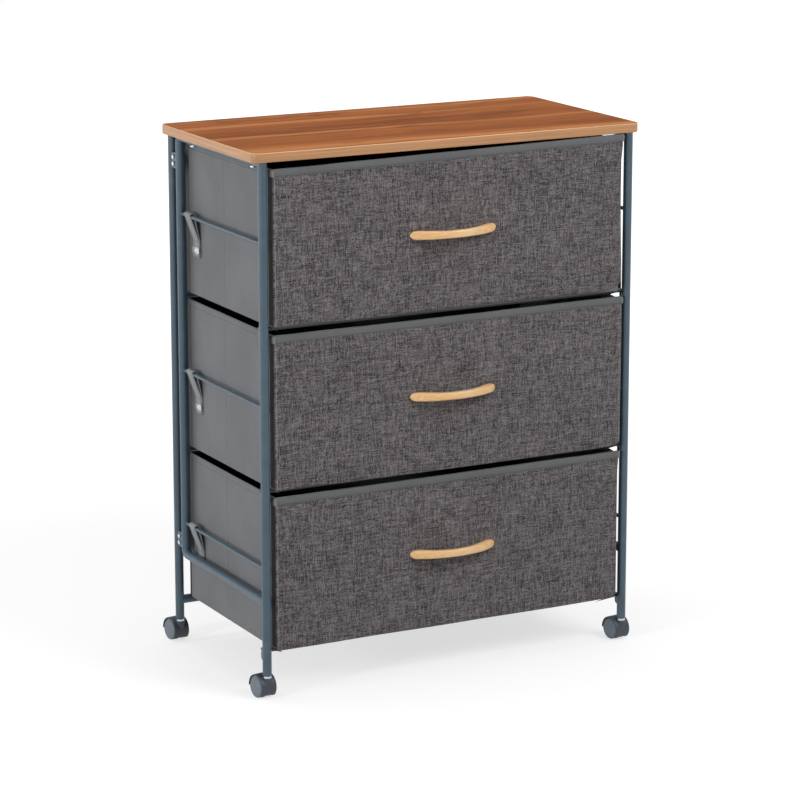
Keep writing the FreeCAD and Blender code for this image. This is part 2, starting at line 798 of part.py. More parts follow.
def hood(label):
    """Moulded hood in the axle's frame: X along the axle, stem at -Y."""
    item = body(label)
    outline = sketch(item, "YZ_Plane")
    radius = hood_r
    rear = -math.asin(hood_rear.value / radius.value)
    front = math.pi + math.asin(hood_front.value / radius.value)
    ring = Part.Circle(FreeCAD.Vector(), FreeCAD.Vector(0, 0, 1), radius.value)
    arc = outline.addGeometry(Part.ArcOfCircle(ring, rear, front))
    bind(outline, Sketcher.Constraint("Radius", arc, radius.value), radius)
    outline.addConstraint(Sketcher.Constraint("Coincident", arc, 3, -1, 1))
    at(outline, arc, 1, None, -hood_rear)
    at(outline, arc, 2, None, -hood_front)
    spots = [(-web_low, -web_low), (web_low, -web_low)]
    ends = [FreeCAD.Vector(radius.value * math.cos(a), radius.value * math.sin(a), 0) for a in (front, rear)]
    middle = [FreeCAD.Vector(number(x), number(y), 0) for x, y in spots]
    chain = [ends[0]] + middle + [ends[1]]
    lines = [outline.addGeometry(Part.LineSegment(a, b)) for a, b in zip(chain, chain[1:])]
    outline.addConstraint(Sketcher.Constraint("Coincident", lines[0], 1, arc, 2))
    outline.addConstraint(Sketcher.Constraint("Coincident", lines[-1], 2, arc, 1))
    for index, (x, y) in enumerate(spots):
        outline.addConstraint(Sketcher.Constraint("Coincident", lines[index], 2, lines[index + 1], 1))
        at(outline, lines[index + 1], 1, x, y)
    pad(item, outline, hood_width)
    top = boss_top - wheel_r
    boss = sketch(item, "XY_Plane")
    circle(boss, zero, -trail, boss_od / 2)
    pad(item, boss, top, symmetric=False)
    doc.recompute()

    room = sketch(item, "XY_Plane", top)
    circle(room, zero, -trail, collar_od / 2 + collar_room)
    pocket(item, room, hood_r, symmetric=False, flip=True)

    wells = sketch(item, "XY_Plane")
    edge = hood_width * 0.6
    well = wheel_r + well_gap
    for side in (-1, 1):
        near, far = web_width * side / 2, edge * side
        polygon(wells, [(near, zero), (far, zero), (far, well), (near, well)])
    before = item.Shape.Volume
    cut = item.newObject("PartDesign::Groove", label + "_wells")
    cut.Profile = wells
    cut.ReferenceAxis = (wells, ["H_Axis"])
    cut.Angle = 360
    item.Tip = cut
    doc.recompute()
    if not item.Shape.Volume < before:
        raise RuntimeError(f"{label}: the wheel wells remove nothing")
    saddle(item, "XY_Plane", zero, -trail, pivot_od / 2 + pivot_fit, hood_r * 3)
    saddle(item, "YZ_Plane", zero, zero, axle_od / 2, hood_width * 2)
    return item


def wheel(label, side):
    item = body(label)
    offset = (web_width / 2 + wheel_gap + wheel_width / 2) * side
    outline = sketch(item, "YZ_Plane", offset)
    circle(outline, zero, zero, wheel_r)
    circle(outline, zero, zero, axle_od / 2 + axle_fit)
    disc = pad(item, outline, wheel_width)
    doc.recompute()
    rims = edge_names(disc.Shape, lambda e: abs(getattr(e.Curve, "Radius", 0) - wheel_r.value) < 1e-3)
    rims = [n for n in rims if len(disc.Shape.getElement(n).Vertexes) == 1]
    bevel = item.newObject("PartDesign::Chamfer", label + "_bevel")
    bevel.Base = (disc, rims)
    bevel.setExpression("Size", wheel_round.text)
    item.Tip = bevel
    doc.recompute()
    return item


def axle(label):
    item = body(label)
    outline = sketch(item, "YZ_Plane")
    circle(outline, zero, zero, axle_od / 2)
    pad(item, outline, web_width + (wheel_gap + wheel_width - axle_end) * 2)
    return item


stems = []
upward = FreeCAD.Vector(0, 0, 1)
for name, (side, end) in corners.items():
    stems.append(stem(name + "_stem", side, end))
    pieces = [hood(name + "_caster_hood"), axle(name + "_caster_axle")]
    pieces.append(wheel(name + "_left_wheel", -1))
    pieces.append(wheel(name + "_right_wheel", 1))
    for piece in pieces:
        x = post_x * side - trail * sine(rest_turn)
        y = post_y * end + trail * cosine(rest_turn)
        place(piece, x, y, wheel_r, upward, rest_turn)
        keep(piece)
group("caster_stems", stems)

# Check every object, then write one STEP file a node
doc.recompute()
for item in doc.Objects:
    if "Invalid" in item.State or "Error" in item.State:
        raise RuntimeError(f"{item.Label}: {item.State}")
for name, item in nodes:
    if item.Shape.isNull() or not item.Shape.isValid() or not item.Shape.Solids:
        raise RuntimeError(f"{name}: bad shape")

os.makedirs("parts", exist_ok=True)
for name, item in nodes:
    item.Shape.exportStep(os.path.join("parts", name + ".step"))
print(len(nodes), "nodes", len({name for name, item in nodes}), "names")
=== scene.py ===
import math

import bmesh
import bpy
from mathutils import Matrix, Vector, noise


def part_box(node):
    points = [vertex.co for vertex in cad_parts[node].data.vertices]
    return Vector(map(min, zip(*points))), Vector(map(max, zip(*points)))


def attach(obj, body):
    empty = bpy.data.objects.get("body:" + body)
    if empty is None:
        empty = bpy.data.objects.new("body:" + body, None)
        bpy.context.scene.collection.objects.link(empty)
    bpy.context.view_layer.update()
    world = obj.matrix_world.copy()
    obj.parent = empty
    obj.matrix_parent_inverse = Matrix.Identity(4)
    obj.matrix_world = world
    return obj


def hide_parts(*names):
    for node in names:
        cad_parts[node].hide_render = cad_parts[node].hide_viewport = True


bl_info = {
    "name": "Rolling Fabric Drawer Dresser",
    "version": (1, 0, 0),
    "blender": (4, 5, 0),
    "location": "View3D > Sidebar > Dresser",
    "description": "Dresses the steel frame, fabric drawers and casters of a rolling dresser",
    "category": "Object",
}

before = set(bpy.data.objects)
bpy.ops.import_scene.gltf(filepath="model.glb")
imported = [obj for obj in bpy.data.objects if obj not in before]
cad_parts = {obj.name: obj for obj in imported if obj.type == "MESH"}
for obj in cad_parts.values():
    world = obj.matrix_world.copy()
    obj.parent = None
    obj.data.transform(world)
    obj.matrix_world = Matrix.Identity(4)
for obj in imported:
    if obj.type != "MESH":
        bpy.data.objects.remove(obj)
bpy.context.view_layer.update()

LEVELS = ("top", "middle", "bottom")
CORNERS = ("front_left", "front_right", "rear_left", "rear_right")
SIDES = (("left", -1), ("right", 1))
TOP_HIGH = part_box("top_board")[1]
FRONTS = {level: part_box(level + "_drawer_front") for level in LEVELS}
FRONT_LOW, FRONT_HIGH = FRONTS["top"]
BOX_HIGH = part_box("top_drawer_box")[1]
POST_LOW, POST_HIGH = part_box("front_right_post")
REAR_LOW, REAR_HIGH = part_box("rear_right_post")
POST_X = (POST_LOW.x + POST_HIGH.x) / 2
POST_Y = (REAR_LOW.y + REAR_HIGH.y) / 2
TUBE_R = (POST_HIGH.x - POST_LOW.x) / 2
WHEEL_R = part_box("front_left_left_wheel")[1].z / 2
CASTER_TURN = math.radians(7)
CASTER_TRAIL = 0.012
SAME = 1e-6  # points closer than this are at one place
SHARP = math.radians(38)  # faces that turn more than this meet at a sharp edge


def shade(red, green, blue):
    """A screen colour, 0 to 255, as the linear colour that shaders take."""
    parts = []
    for channel in (red, green, blue):
        value = channel / 255
        parts.append(value / 12.92 if value <= 0.04045 else ((value + 0.055) / 1.055) ** 2.4)
    return tuple(parts)


def tinted(tone, factor):
    """A lighter or darker tone."""
    return [min(1, channel * factor) for channel in tone]


def length(name, description, default):
    return bpy.props.FloatProperty(
        name=name, description=description, default=default, min=0, unit="LENGTH", subtype="DISTANCE"
    )


def colour(name, description, default):
    return bpy.props.FloatVectorProperty(
        name=name, description=description, default=default, size=3, min=0, max=1, subtype="COLOR"
    )


class DresserSizes(bpy.types.PropertyGroup):
    """Sizes of the sewn and moulded detail."""

    hem_height: length("Front hem", "Height of the tape along the top of a drawer front", 0.0093)
    hem_proud: length("Hem thickness", "How far the tape stands off the front", 0.0006)
    side_hem: length("Side hem", "Seam line below the top edge of a drawer side", 0.0085)
    cloth: length("Wall", "Thickness of a drawer's fabric wall", 0.0019)
    corner_cut: length("Corner cut", "How far the fronts' lower corners are lifted", 0.0068)
    corner_seam: length("Corner seam", "How far the rear corners are pinched out", 0.003)
    side_sag: length("Side sag", "How far a drawer side pulls in at its middle", 0.0011)
    edge_pull: length("Edge pull", "How far a front's side edges pull in below the hem", 0.0036)
    front_crown: length("Front crown", "How far a front stands out at its middle", 0.0006)
    stitch_pitch: length("Stitch pitch", "From one stitch to the next", 0.0042)
    stitch_size: length("Stitch thickness", "Radius of the sewing thread", 0.0005)
    strap_thick: length("Webbing", "Thickness of the sling webbing", 0.0012)
    thread_pitch: length("Thread pitch", "Between the threads of the front fabric", 0.0015)
    weld_size: length("Weld bead", "Radius of a weld bead", 0.0011)


class DresserColours(bpy.types.PropertyGroup):
    """Colours of the finishes."""

    paint: colour("Frame paint", "Slate powder coat of the steel frame", shade(66, 87, 101))
    zinc: colour("Zinc", "Screws, stem collars and strap clips", shade(216, 219, 224))
    wood: colour("Top", "Ground colour of the wood-look top", shade(164, 98, 53))
    wood_dark: colour("Top, dark grain", "Darker streaks of the top", shade(128, 70, 36))
    wood_light: colour("Top, light grain", "Lighter lines of the top", shade(212, 144, 90))
    band: colour("Edge band", "Wood-look edge banding", shade(200, 148, 102))
    thread_dark: colour("Front, dark threads", "Darker threads of the fronts", shade(46, 41, 43))
    thread_light: colour("Front, light threads", "Lighter threads of the fronts", shade(148, 142, 143))
    hem: colour("Hem tape", "Tape along the top of the fronts", shade(109, 111, 112))
    side: colour("Drawer side", "Non-woven fabric of the drawer boxes", shade(124, 125, 128))
    base: colour("Base board", "Covered board in each drawer", shade(92, 93, 96))
    handle: colour("Handle wood", "Light lacquered wood of the handles", shade(250, 200, 140))
    webbing: colour("Webbing", "Webbing of the slings", shade(164, 167, 169))
    hood: colour("Caster hood", "Moulded hoods of the casters", shade(64, 71, 81))
    wheel: colour("Caster wheel", "Moulded wheels of the casters", shade(112, 122, 133))


class Value:
    """A shader value that takes part in sums."""

    def __init__(self, finish, socket):
        self.finish = finish
        self.socket = socket

    def math(self, operation, *values):
        return self.finish.node("ShaderNodeMath", {"operation": operation}, values)

    def __add__(self, other):
        return self.math("ADD", self, other)

    def __sub__(self, other):
        return self.math("SUBTRACT", self, other)

    def __rsub__(self, other):
        return self.math("SUBTRACT", other, self)

    def __mul__(self, other):
        return self.math("MULTIPLY", self, other)

    def __truediv__(self, other):
        return self.math("DIVIDE", self, other)

    def __rtruediv__(self, other):
        return self.math("DIVIDE", other, self)

    def __mod__(self, other):
        return self.math("FLOORED_MODULO", self, other)

    def __pow__(self, other):
        return self.math("POWER", self, other)

    def __abs__(self):
        return self.math("ABSOLUTE", self)

    def __lt__(self, other):
        return self.math("LESS_THAN", self, other)

    def __gt__(self, other):
        return self.math("GREATER_THAN", self, other)

    __radd__ = __add__
    __rmul__ = __mul__

    def whole(self):
        return self.math("FLOOR", self)

    def clamp(self):
        return self.finish.node("ShaderNodeClamp", {}, [self])

    def between(self, low, high):
        """0 at low and 1 at high, easing at both ends."""
        settings = {"interpolation_type": "SMOOTHSTEP"}
        return self.finish.node("ShaderNodeMapRange", settings, [self, low, high])


class Finish:
    """One material, built from expressions on its own nodes."""

    def __init__(self, name):
        self.material = bpy.data.materials.new(name)
        self.material.use_nodes = True
        self.tree = self.material.node_tree
        self.tree.nodes.clear()

    def node(self, kind, settings=None, values=(), output=0):
        """Add a node, set it up, feed its sockets and give one output."""
        item = self.tree.nodes.new(kind)
        for key, setting in (settings or {}).items():
            setattr(item, key, setting)
        pairs = values.items() if isinstance(values, dict) else enumerate(values)
        for key, value in pairs:
            if isinstance(value, Value):
                self.tree.links.new(value.socket, item.inputs[key])
            else:
                item.inputs[key].default_value = value
        return Value(self, item.outputs[output])

    def place(self):
        """The piece's own X, Y and Z, in metres."""
        spot = self.node("ShaderNodeTexCoord", output="Object")
        split = self.node("ShaderNodeSeparateXYZ", {}, [spot])
        outputs = split.socket.node.outputs
        return spot, [Value(self, socket) for socket in outputs]

    def point(self, x, y, z):
        return self.node("ShaderNodeCombineXYZ", {}, [x, y, z])

    def speckle(self, spot, scale, detail=2.0, rough=0.5, distort=0.0):
        values = {"Vector": spot, "Scale": scale, "Detail": detail}
        values.update({"Roughness": rough, "Distortion": distort})
        return self.node("ShaderNodeTexNoise", {}, values)

    def mix(self, factor, first, second, mode="MIX"):
        settings = {"data_type": "RGBA", "blend_type": mode}
        values = {0: factor}
        for key, value in ((6, first), (7, second)):
            values[key] = value if isinstance(value, Value) else (*value[:3], 1)
        return self.node("ShaderNodeMix", settings, values, output=2)

    def bump(self, height, distance, strength):
        values = {"Height": height, "Distance": distance, "Strength": strength}
        return self.node("ShaderNodeBump", {}, values)

    def finish(self, **values):
        """Shade the surface: Base_Color=..., Roughness=... and so on."""
        sockets = {}
        for key, value in values.items():
            key = key.replace("_", " ")
            if isinstance(value, tuple) and len(value) == 3:
                value = (*value, 1)
            sockets[key] = value
        surface = self.node("ShaderNodeBsdfPrincipled", {}, sockets)
        out = self.tree.nodes.new("ShaderNodeOutputMaterial")
        self.tree.links.new(surface.socket, out.inputs["Surface"])
        return self.material


def powder_coat(name, tone):
    """Powder coat: faint orange peel and a little wear in tone."""
    paint = Finish(name)
    spot, _ = paint.place()
    cloud = paint.speckle(spot, 38, 3)
    peel = paint.speckle(spot, 1500, 2)
    dust = paint.speckle(spot, 420, 3, 0.7).between(0.62, 0.8)
    base = paint.mix(cloud.between(0.3, 0.7), tinted(tone, 0.9), tinted(tone, 1.1))
    base = paint.mix(dust * 0.18, base, tinted(tone, 1.7))
    rough = 0.28 + cloud * 0.1
    return paint.finish(
        Base_Color=base, Roughness=rough, Normal=paint.bump(peel, 0.0001, 0.35), Specular_IOR_Level=0.55
    )


def zinc_plate(name, colours):
    plate = Finish(name)
    spot, _ = plate.place()
    tone = tuple(colours.zinc)
    cloud = plate.speckle(spot, 300, 3)
    scratch = plate.speckle(spot, 2600, 2)
    base = plate.mix(cloud, tinted(tone, 0.82), tone)
    rough = 0.22 + scratch * 0.16
    return plate.finish(
        Base_Color=base, Metallic=1.0, Roughness=rough, Normal=plate.bump(scratch, 0.00005, 0.3)
    )


def board_wood(name, colours):
    """Wood-look laminate: long streaks and darker flames along X."""
    wood = Finish(name)
    _, (x, y, _) = wood.place()
    tone, dark, light = tuple(colours.wood), tuple(colours.wood_dark), tuple(colours.wood_light)
    drift = wood.speckle(wood.point(x * 1.6, y * 3, 0.3), 1.6, 2)
    lane = y + drift * 0.06
    broad = wood.speckle(wood.point(x * 1.1, lane * 13, 1.7), 1.0, 3, 0.55, 0.5)
    streak = wood.speckle(wood.point(x * 5, lane * 150, 4.1), 1.0, 4, 0.6, 0.3)
    line = wood.speckle(wood.point(x * 0.7, lane * 34, 8.4), 1.0, 2, 0.5, 0.2)
    flame = wood.speckle(wood.point(x * 4.5, lane * 15, 12.5), 1.0, 3, 0.6, 1.6)
    pore = wood.speckle(wood.point(x * 26, y * 1500, 9.2), 1.0, 2)
    base = wood.mix((broad * 0.72 + streak * 0.28).between(0.34, 0.58), dark, tone)
    base = wood.mix(line.between(0.58, 0.68) * 0.45, base, light)
    base = wood.mix(streak.between(0.56, 0.72) * 0.2, base, light)
    base = wood.mix(flame.between(0.52, 0.68) * 0.5, base, tinted(dark, 0.82))
    base = wood.mix(pore.between(0.6, 0.75) * 0.18, base, tinted(dark, 0.7))
    rough = 0.56 + streak * 0.12
    relief = wood.bump(pore, 0.00006, 0.4)
    return wood.finish(Base_Color=base, Roughness=rough, Normal=relief, Specular_IOR_Level=0.05)


def band_wood(name, colours):
    """Lighter edge banding, its grain running along each side."""
    band = Finish(name)
    _, (x, y, z) = band.place()
    tone = tuple(colours.band)
    grain = band.speckle(band.point(x * 9, y * 9, z * 700), 1.0, 4, 0.6, 0.3)
    patch = band.speckle(band.point(x * 14, y * 14, z * 30), 1.0, 2)
    base = band.mix(grain.between(0.3, 0.7), tinted(tone, 0.78), tinted(tone, 1.12))
    base = band.mix(patch.between(0.48, 0.7) * 0.5, base, shade(216, 140, 98))
    # painted highlight: a light line along the rounded top edge of the band
    rim = z.between(TOP_HIGH.z - 0.0016, TOP_HIGH.z - 0.0007)
    base = band.mix(rim * 0.55, base, shade(238, 198, 152))
    return band.finish(Base_Color=base, Roughness=0.4, Normal=band.bump(grain, 0.00006, 0.3))


def front_weave(name, colours, sizes):
    """Heathered linen-look weave: slubby warp and weft threads.

    The noise scales are changes in tone for each metre along a thread.
    """
    cloth = Finish(name)
    _, (x, y, z) = cloth.place()
    pitch = sizes.thread_pitch
    across, up = (x + y * 0.9) / pitch, (z + y * 0.9) / pitch
    column, row = across.whole(), up.whole()
    slow, quick, streaky = 45, 480, 95
    warp = cloth.speckle(cloth.point(column * 3.71, z * slow, 2.0), 1.0, 1)
    weft = cloth.speckle(cloth.point(x * slow, row * 3.71, 31.0), 1.0, 1)
    warp_slub = cloth.speckle(cloth.point(column * 5.13, z * quick, 7.0), 1.0, 1)
    weft_slub = cloth.speckle(cloth.point(x * quick, row * 5.13, 17.0), 1.0, 1)
    over = ((column + row) % 2) > 0.5
    under = 1 - over
    thread = (warp * 0.5 + warp_slub * 0.5) * (over * 0.5 + 0.27)
    thread = thread + (weft * 0.5 + weft_slub * 0.5) * (under * 0.5 + 0.23)
    patch = cloth.speckle(cloth.point(x * 14, y * 14, z * 14), 1.0, 2)
    tone = (thread + patch * 0.05 - 0.025).between(0.36, 0.68)
    base = cloth.mix(tone, tuple(colours.thread_dark), tuple(colours.thread_light))
    upright = cloth.speckle(cloth.point(column * 7.3, z * streaky, 41.0), 1.0, 1).between(0.6, 0.72)
    level = cloth.speckle(cloth.point(x * streaky, row * 7.3, 53.0), 1.0, 1).between(0.61, 0.74)
    base = cloth.mix((upright + level).clamp() * 0.4, base, shade(166, 161, 161))
    # a light line along each side edge: lighter fuzzy threads, and a painted highlight where the rounded
    # edge catches light
    edge_fuzz_and_highlight = 1 - abs(abs(x) - (FRONT_HIGH.x - 0.0021)) / 0.0007
    base = cloth.mix(edge_fuzz_and_highlight.clamp() * (warp_slub * 1.4).clamp(), base, shade(170, 166, 165))
    # painted shadow of the front post: the front's side faces and the cloth behind them go near black
    painted_post_shadow = y.between(FRONT_LOW.y + 0.0008, FRONT_LOW.y + 0.002)
    base = cloth.mix(painted_post_shadow * 0.88, base, shade(32, 30, 32))
    hump_x = 1 - abs((across % 1) - 0.5) * 2
    hump_z = 1 - abs((up % 1) - 0.5) * 2
    relief = hump_x * over + hump_z * under
    # painted shade in the hollows between the threads
    base = cloth.mix((1 - relief).between(0.6, 1.0) * 0.3, base, shade(44, 41, 42))
    return cloth.finish(
        Base_Color=base,
        Roughness=0.92,
        Normal=cloth.bump(relief, 0.00035, 0.8),
        Specular_IOR_Level=0.15,
        Sheen_Weight=0.12,
        Sheen_Roughness=0.6,
    )


def felt(name, tone, dots=0.0016, depth=0.00012, bound=None):
    """Smooth non-woven fabric, embossed with fine dots. Given a place along Y, it paints shade from there
    to the rear: a dark strip by the rear corner and the whole rear wall.
    """
    cloth = Finish(name)
    spot, (x, y, z) = cloth.place()
    cloud = cloth.speckle(spot, 11, 3, 0.6)
    fibre = cloth.speckle(cloth.point(x * 700, y * 700, z * 700), 1.0, 3, 0.7)
    diagonal, other = (x + y + z) / dots, (y + x * 0.4 - z) / dots
    cell = (1 - abs((diagonal % 1) - 0.5) * 2) * (1 - abs((other % 1) - 0.5) * 2)
    base = cloth.mix(cloud.between(0.3, 0.7), tinted(tone, 0.91), tinted(tone, 1.05))
    base = cloth.mix(fibre.between(0.5, 0.8) * 0.2, base, tinted(tone, 1.35))
    if bound:
        # painted shade: the rear strip of each side, where the side loop's shadow falls, and the wall
        # behind it go near black
        base = cloth.mix(y.between(bound, bound + 0.0012), base, shade(38, 39, 42))
    height = cell * 0.7 + fibre * 0.3
    return cloth.finish(
        Base_Color=base,
        Roughness=0.85,
        Normal=cloth.bump(height, depth, 0.6),
        Specular_IOR_Level=0.2,
        Sheen_Weight=0.06,
    )


def webbing_cloth(name, colours):
    """Narrow webbing with ribs across it."""
    strap = Finish(name)
    _, (x, y, z) = strap.place()
    tone = tuple(colours.webbing)
    rib = 1 - abs(((z / 0.0014) % 1) - 0.5) * 2
    cord = 1 - abs(((y / 0.0016) % 1) - 0.5) * 2
    fleck = strap.speckle(strap.point(x * 500, y * 500, z * 500), 1.0, 2)
    # darker in the grooves between ribs and cords, lighter on their crests: painted shade
    base = strap.mix(rib * 0.5 + cord * 0.2, tinted(tone, 0.72), tinted(tone, 1.08))
    base = strap.mix(fleck.between(0.5, 0.8) * 0.25, base, tinted(tone, 0.7))
    height = rib * 0.7 + cord * 0.3
    return strap.finish(Base_Color=base, Roughness=0.82, Normal=strap.bump(height, 0.0002, 0.8))


def handle_wood(name, colours):
    """Light lacquered wood, grain along the handle."""
    wood = Finish(name)
    _, (x, y, z) = wood.place()
    tone = tuple(colours.handle)
    grain = wood.speckle(wood.point(x * 22, y * 320, z * 420), 1.0, 4, 0.6, 0.4)
    ring = wood.speckle(wood.point(x * 9, y * 70, z * 90), 1.0, 2)
    base = wood.mix(grain.between(0.3, 0.7), tinted(tone, 0.84), tinted(tone, 1.08))
    base = wood.mix(ring.between(0.45, 0.75) * 0.35, base, shade(238, 172, 108))
    # painted highlight: a lighter patch across the bow, centred 12 mm right of the middle
    base = wood.mix((1 - abs(x - 0.012) / 0.03).clamp() * 0.45, base, shade(253, 222, 176))
    return wood.finish(
        Base_Color=base,
        Roughness=0.38,
        Normal=wood.bump(grain, 0.00005, 0.3),
        Coat_Weight=0.25,
        Coat_Roughness=0.25,
    )


def moulded_plastic(name, tone, rough):
    plastic = Finish(name)
    spot, _ = plastic.place()
    cloud = plastic.speckle(spot, 60, 2)
    grit = plastic.speckle(spot, 2200, 2)
    base = plastic.mix(cloud, tinted(tone, 0.88), tinted(tone, 1.12))
    relief = plastic.bump(grit, 0.00008, 0.4)
    return plastic.finish(Base_Color=base, Roughness=rough + cloud * 0.08, Normal=relief)


def block(bm, low, high):
    """A box between two corners."""
    low, high = Vector(low), Vector(high)
    matrix = Matrix.Translation((low + high) / 2) @ Matrix.Diagonal((*(high - low), 1))
    return bmesh.ops.create_cube(bm, size=1, matrix=matrix)["verts"]


def soften(bm, edges, offset, segments=3):
    return bmesh.ops.bevel(
        bm,
        geom=list(edges),
        offset=offset,
        offset_type="OFFSET",
        affect="EDGES",
        segments=segments,
        profile=0.5,
        material=-1,
    )


def runs_along(edge, axis):
    gap = edge.verts[1].co - edge.verts[0].co
    return abs(gap[axis]) > 0.999 * gap.length


def edges_along(bm, axis):
    return [e for e in bm.edges if runs_along(e, axis)]


def edges_at(bm, axis, spot):
    """The edges that lie in one plane across an axis."""
    return [e for e in bm.edges if all(abs(v.co[axis] - spot) < SAME for v in e.verts)]


def slice_up(bm, axis, spots):
    """Cut the mesh across an axis at each spot."""
    normal = [0, 0, 0]
    normal[axis] = 1
    for spot in spots:
        middle = [0, 0, 0]
        middle[axis] = spot
        geom = bm.verts[:] + bm.edges[:] + bm.faces[:]
        bmesh.ops.bisect_plane(bm, geom=geom, dist=SAME, plane_co=middle, plane_no=normal)


def steps(low, high, pitch):
    count = max(1, round((high - low) / pitch))
    return [low + (high - low) * i / count for i in range(1, count)]


def ease(value, low, high):
    """0 at low, 1 at high, smooth between."""
    t = min(1.0, max(0.0, (value - low) / (high - low)))
    return t * t * (3 - 2 * t)


def bell(gap, width):
    """1 where there is no gap, falling smoothly away on both sides."""
    return math.exp(-((gap / width) ** 2))


def swell(share):
    """0 at both ends of a run and 1 at its middle."""
    return math.sin(math.pi * min(1, max(0, share)))


def ripple(spot, size, seed):
    """A smooth seeded wave of about -1 to 1, features of that size."""
    return noise.noise(Vector(spot) / size + Vector((seed * 7.31, seed * 3.17, seed * 1.73)))


def piece(name, bm, body, finish, nodes=(), recalc=True):
    """Turn a bmesh into a piece that rides on a body."""
    if recalc:
        bmesh.ops.remove_doubles(bm, verts=bm.verts, dist=1e-7)
        bmesh.ops.recalc_face_normals(bm, faces=bm.faces)
    mesh = bpy.data.meshes.new(name)
    bm.to_mesh(mesh)
    bm.free()
    mesh.shade_smooth()
    mesh.set_sharp_from_angle(angle=SHARP)
    mesh.materials.append(finish)
    item = bpy.data.objects.new(name, mesh)
    bpy.context.scene.collection.objects.link(item)
    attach(item, body)
    if nodes:
        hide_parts(*nodes)
    return item


def stitch_row(bm, start, end, pitch, radius):
    """A row of short threads along a line."""
    start, end = Vector(start), Vector(end)
    run = end - start
    count = max(1, int(run.length / pitch))
    turn = run.to_track_quat("X", "Z").to_matrix().to_4x4()
    size = Matrix.Diagonal((pitch * 0.36, radius, radius, 1))
    for i in range(count):
        spot = start + run * ((i + 0.5) / count)
        matrix = Matrix.Translation(spot) @ turn @ size
        bmesh.ops.create_icosphere(bm, subdivisions=1, radius=1, matrix=matrix)


def lathe(bm, profile, centre, axis, segments):
    """Spin a profile of points once round an axis through a centre."""
    verts = [bm.verts.new(spot) for spot in profile]
    edges = [bm.edges.new(pair) for pair in zip(verts, verts[1:])]
    bmesh.ops.spin(
        bm, geom=verts + edges, cent=centre, axis=axis, angle=math.tau, steps=segments, use_merge=True
    )


def sizes_now():
    return bpy.context.scene.dresser_sizes


def colours_now():
    return bpy.context.scene.dresser_colours


def finish_named(name, make, *values, **options):
    """A finish, made the first time that a piece asks for it."""
    return bpy.data.materials.get(name) or make(name, *values, **options)


def wear(nodes, finish):
    """Give the frame's own nodes a finish."""
    for name in nodes:
        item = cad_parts[name]
        item.data.materials.clear()
        item.data.materials.append(finish)


class DRESSER_OT_frame(bpy.types.Operator):
    """Powder-coat the steel frame and lay its weld beads"""

    bl_idname = "dresser.frame"
    bl_label = "Steel frame"

    def execute(self, context):
        sizes, colours = sizes_now(), colours_now()
        paint = finish_named("slate_powder_coat", powder_coat, tuple(colours.paint))
        # the front rails are coloured near black as painted shade, for the dark gaps between the drawers
        # where they sit
        dark = finish_named("dark_rail_coat", powder_coat, shade(20, 22, 24))
        zinc = finish_named("bright_zinc", zinc_plate, colours)
        painted = [corner + "_post" for corner in CORNERS]
        painted += [side + "_side_loop" for side, _ in SIDES]
        painted += [f"{side}_{level}_guide_rod" for side, _ in SIDES for level in LEVELS]
        painted += ["rear_crossbars", "rail_brackets", "loop_brackets"]
        wear(painted, paint)
        wear([level + "_front_rail" for level in LEVELS], dark)
        wear(["bracket_screws", "board_screws", "caster_stems"], zinc)
        wear([level + "_handle_screws" for level in LEVELS], zinc)

        bead = sizes.weld_size
        bm = bmesh.new()
        loop_low, loop_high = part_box("left_side_loop")
        run_low = loop_low.z + TUBE_R
        run_high = loop_high.z - TUBE_R
        upright = loop_high.y - TUBE_R
        front = -POST_Y + TUBE_R
        for _, side in SIDES:
            for level in LEVELS:
                low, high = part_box(f"left_{level}_guide_rod")
                radius = (high.x - low.x) / 2
                height = (low.z + high.z) / 2
                for y in (front, upright - TUBE_R):
                    self.ring(bm, (POST_X * side, y, height), radius, bead)
            for height in (run_low, run_high):
                self.ring(bm, (POST_X * side, front, height), TUBE_R * 0.96, bead)
        piece("weld_beads", bm, "frame", paint)
        return {"FINISHED"}

    def ring(self, bm, centre, radius, bead):
        """A weld bead round a rod that runs front to back."""
        x, y, z = centre
        sides = 8
        section = []
        for i in range(sides + 1):
            turn = math.tau * i / sides
            section.append((x + radius + bead * 0.5 * math.cos(turn), y + bead * math.sin(turn), z))
        lathe(bm, section, centre, (0, 1, 0), 18)


class DRESSER_OT_top(bpy.types.Operator):
    """Finish the top and lay its rounded edge banding"""

    bl_idname = "dresser.top"
    bl_label = "Top and banding"

    def execute(self, context):
        colours = colours_now()
        wear(["top_board"], finish_named("walnut_laminate", board_wood, colours))
        corner_round, lip, rim_round = 0.012, 0.0012, 0.0009
        bm = bmesh.new()
        block(bm, *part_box("top_edge_band"))
        soften(bm, edges_along(bm, 2), corner_round, 10)
        caps = [f for f in bm.faces if abs(f.normal.z) > 0.5]
        bmesh.ops.inset_region(bm, faces=caps, thickness=lip, use_even_offset=True)
        inner = [f for f in caps if f.is_valid]
        inner_edges = {e for f in inner for e in f.edges}
        rim = [
            e
            for e in bm.edges
            if e not in inner_edges and e.is_manifold and abs(e.verts[0].co.z - e.verts[1].co.z) < SAME
            and any(abs(f.normal.z) < 0.5 for f in e.link_faces)
        ]
        bmesh.ops.delete(bm, geom=inner, context="FACES_ONLY")
        soften(bm, rim, rim_round, 3)
        band = finish_named("edge_banding", band_wood, colours)
        piece("edge_banding", bm, "frame", band, ["top_edge_band"])
        return {"FINISHED"}


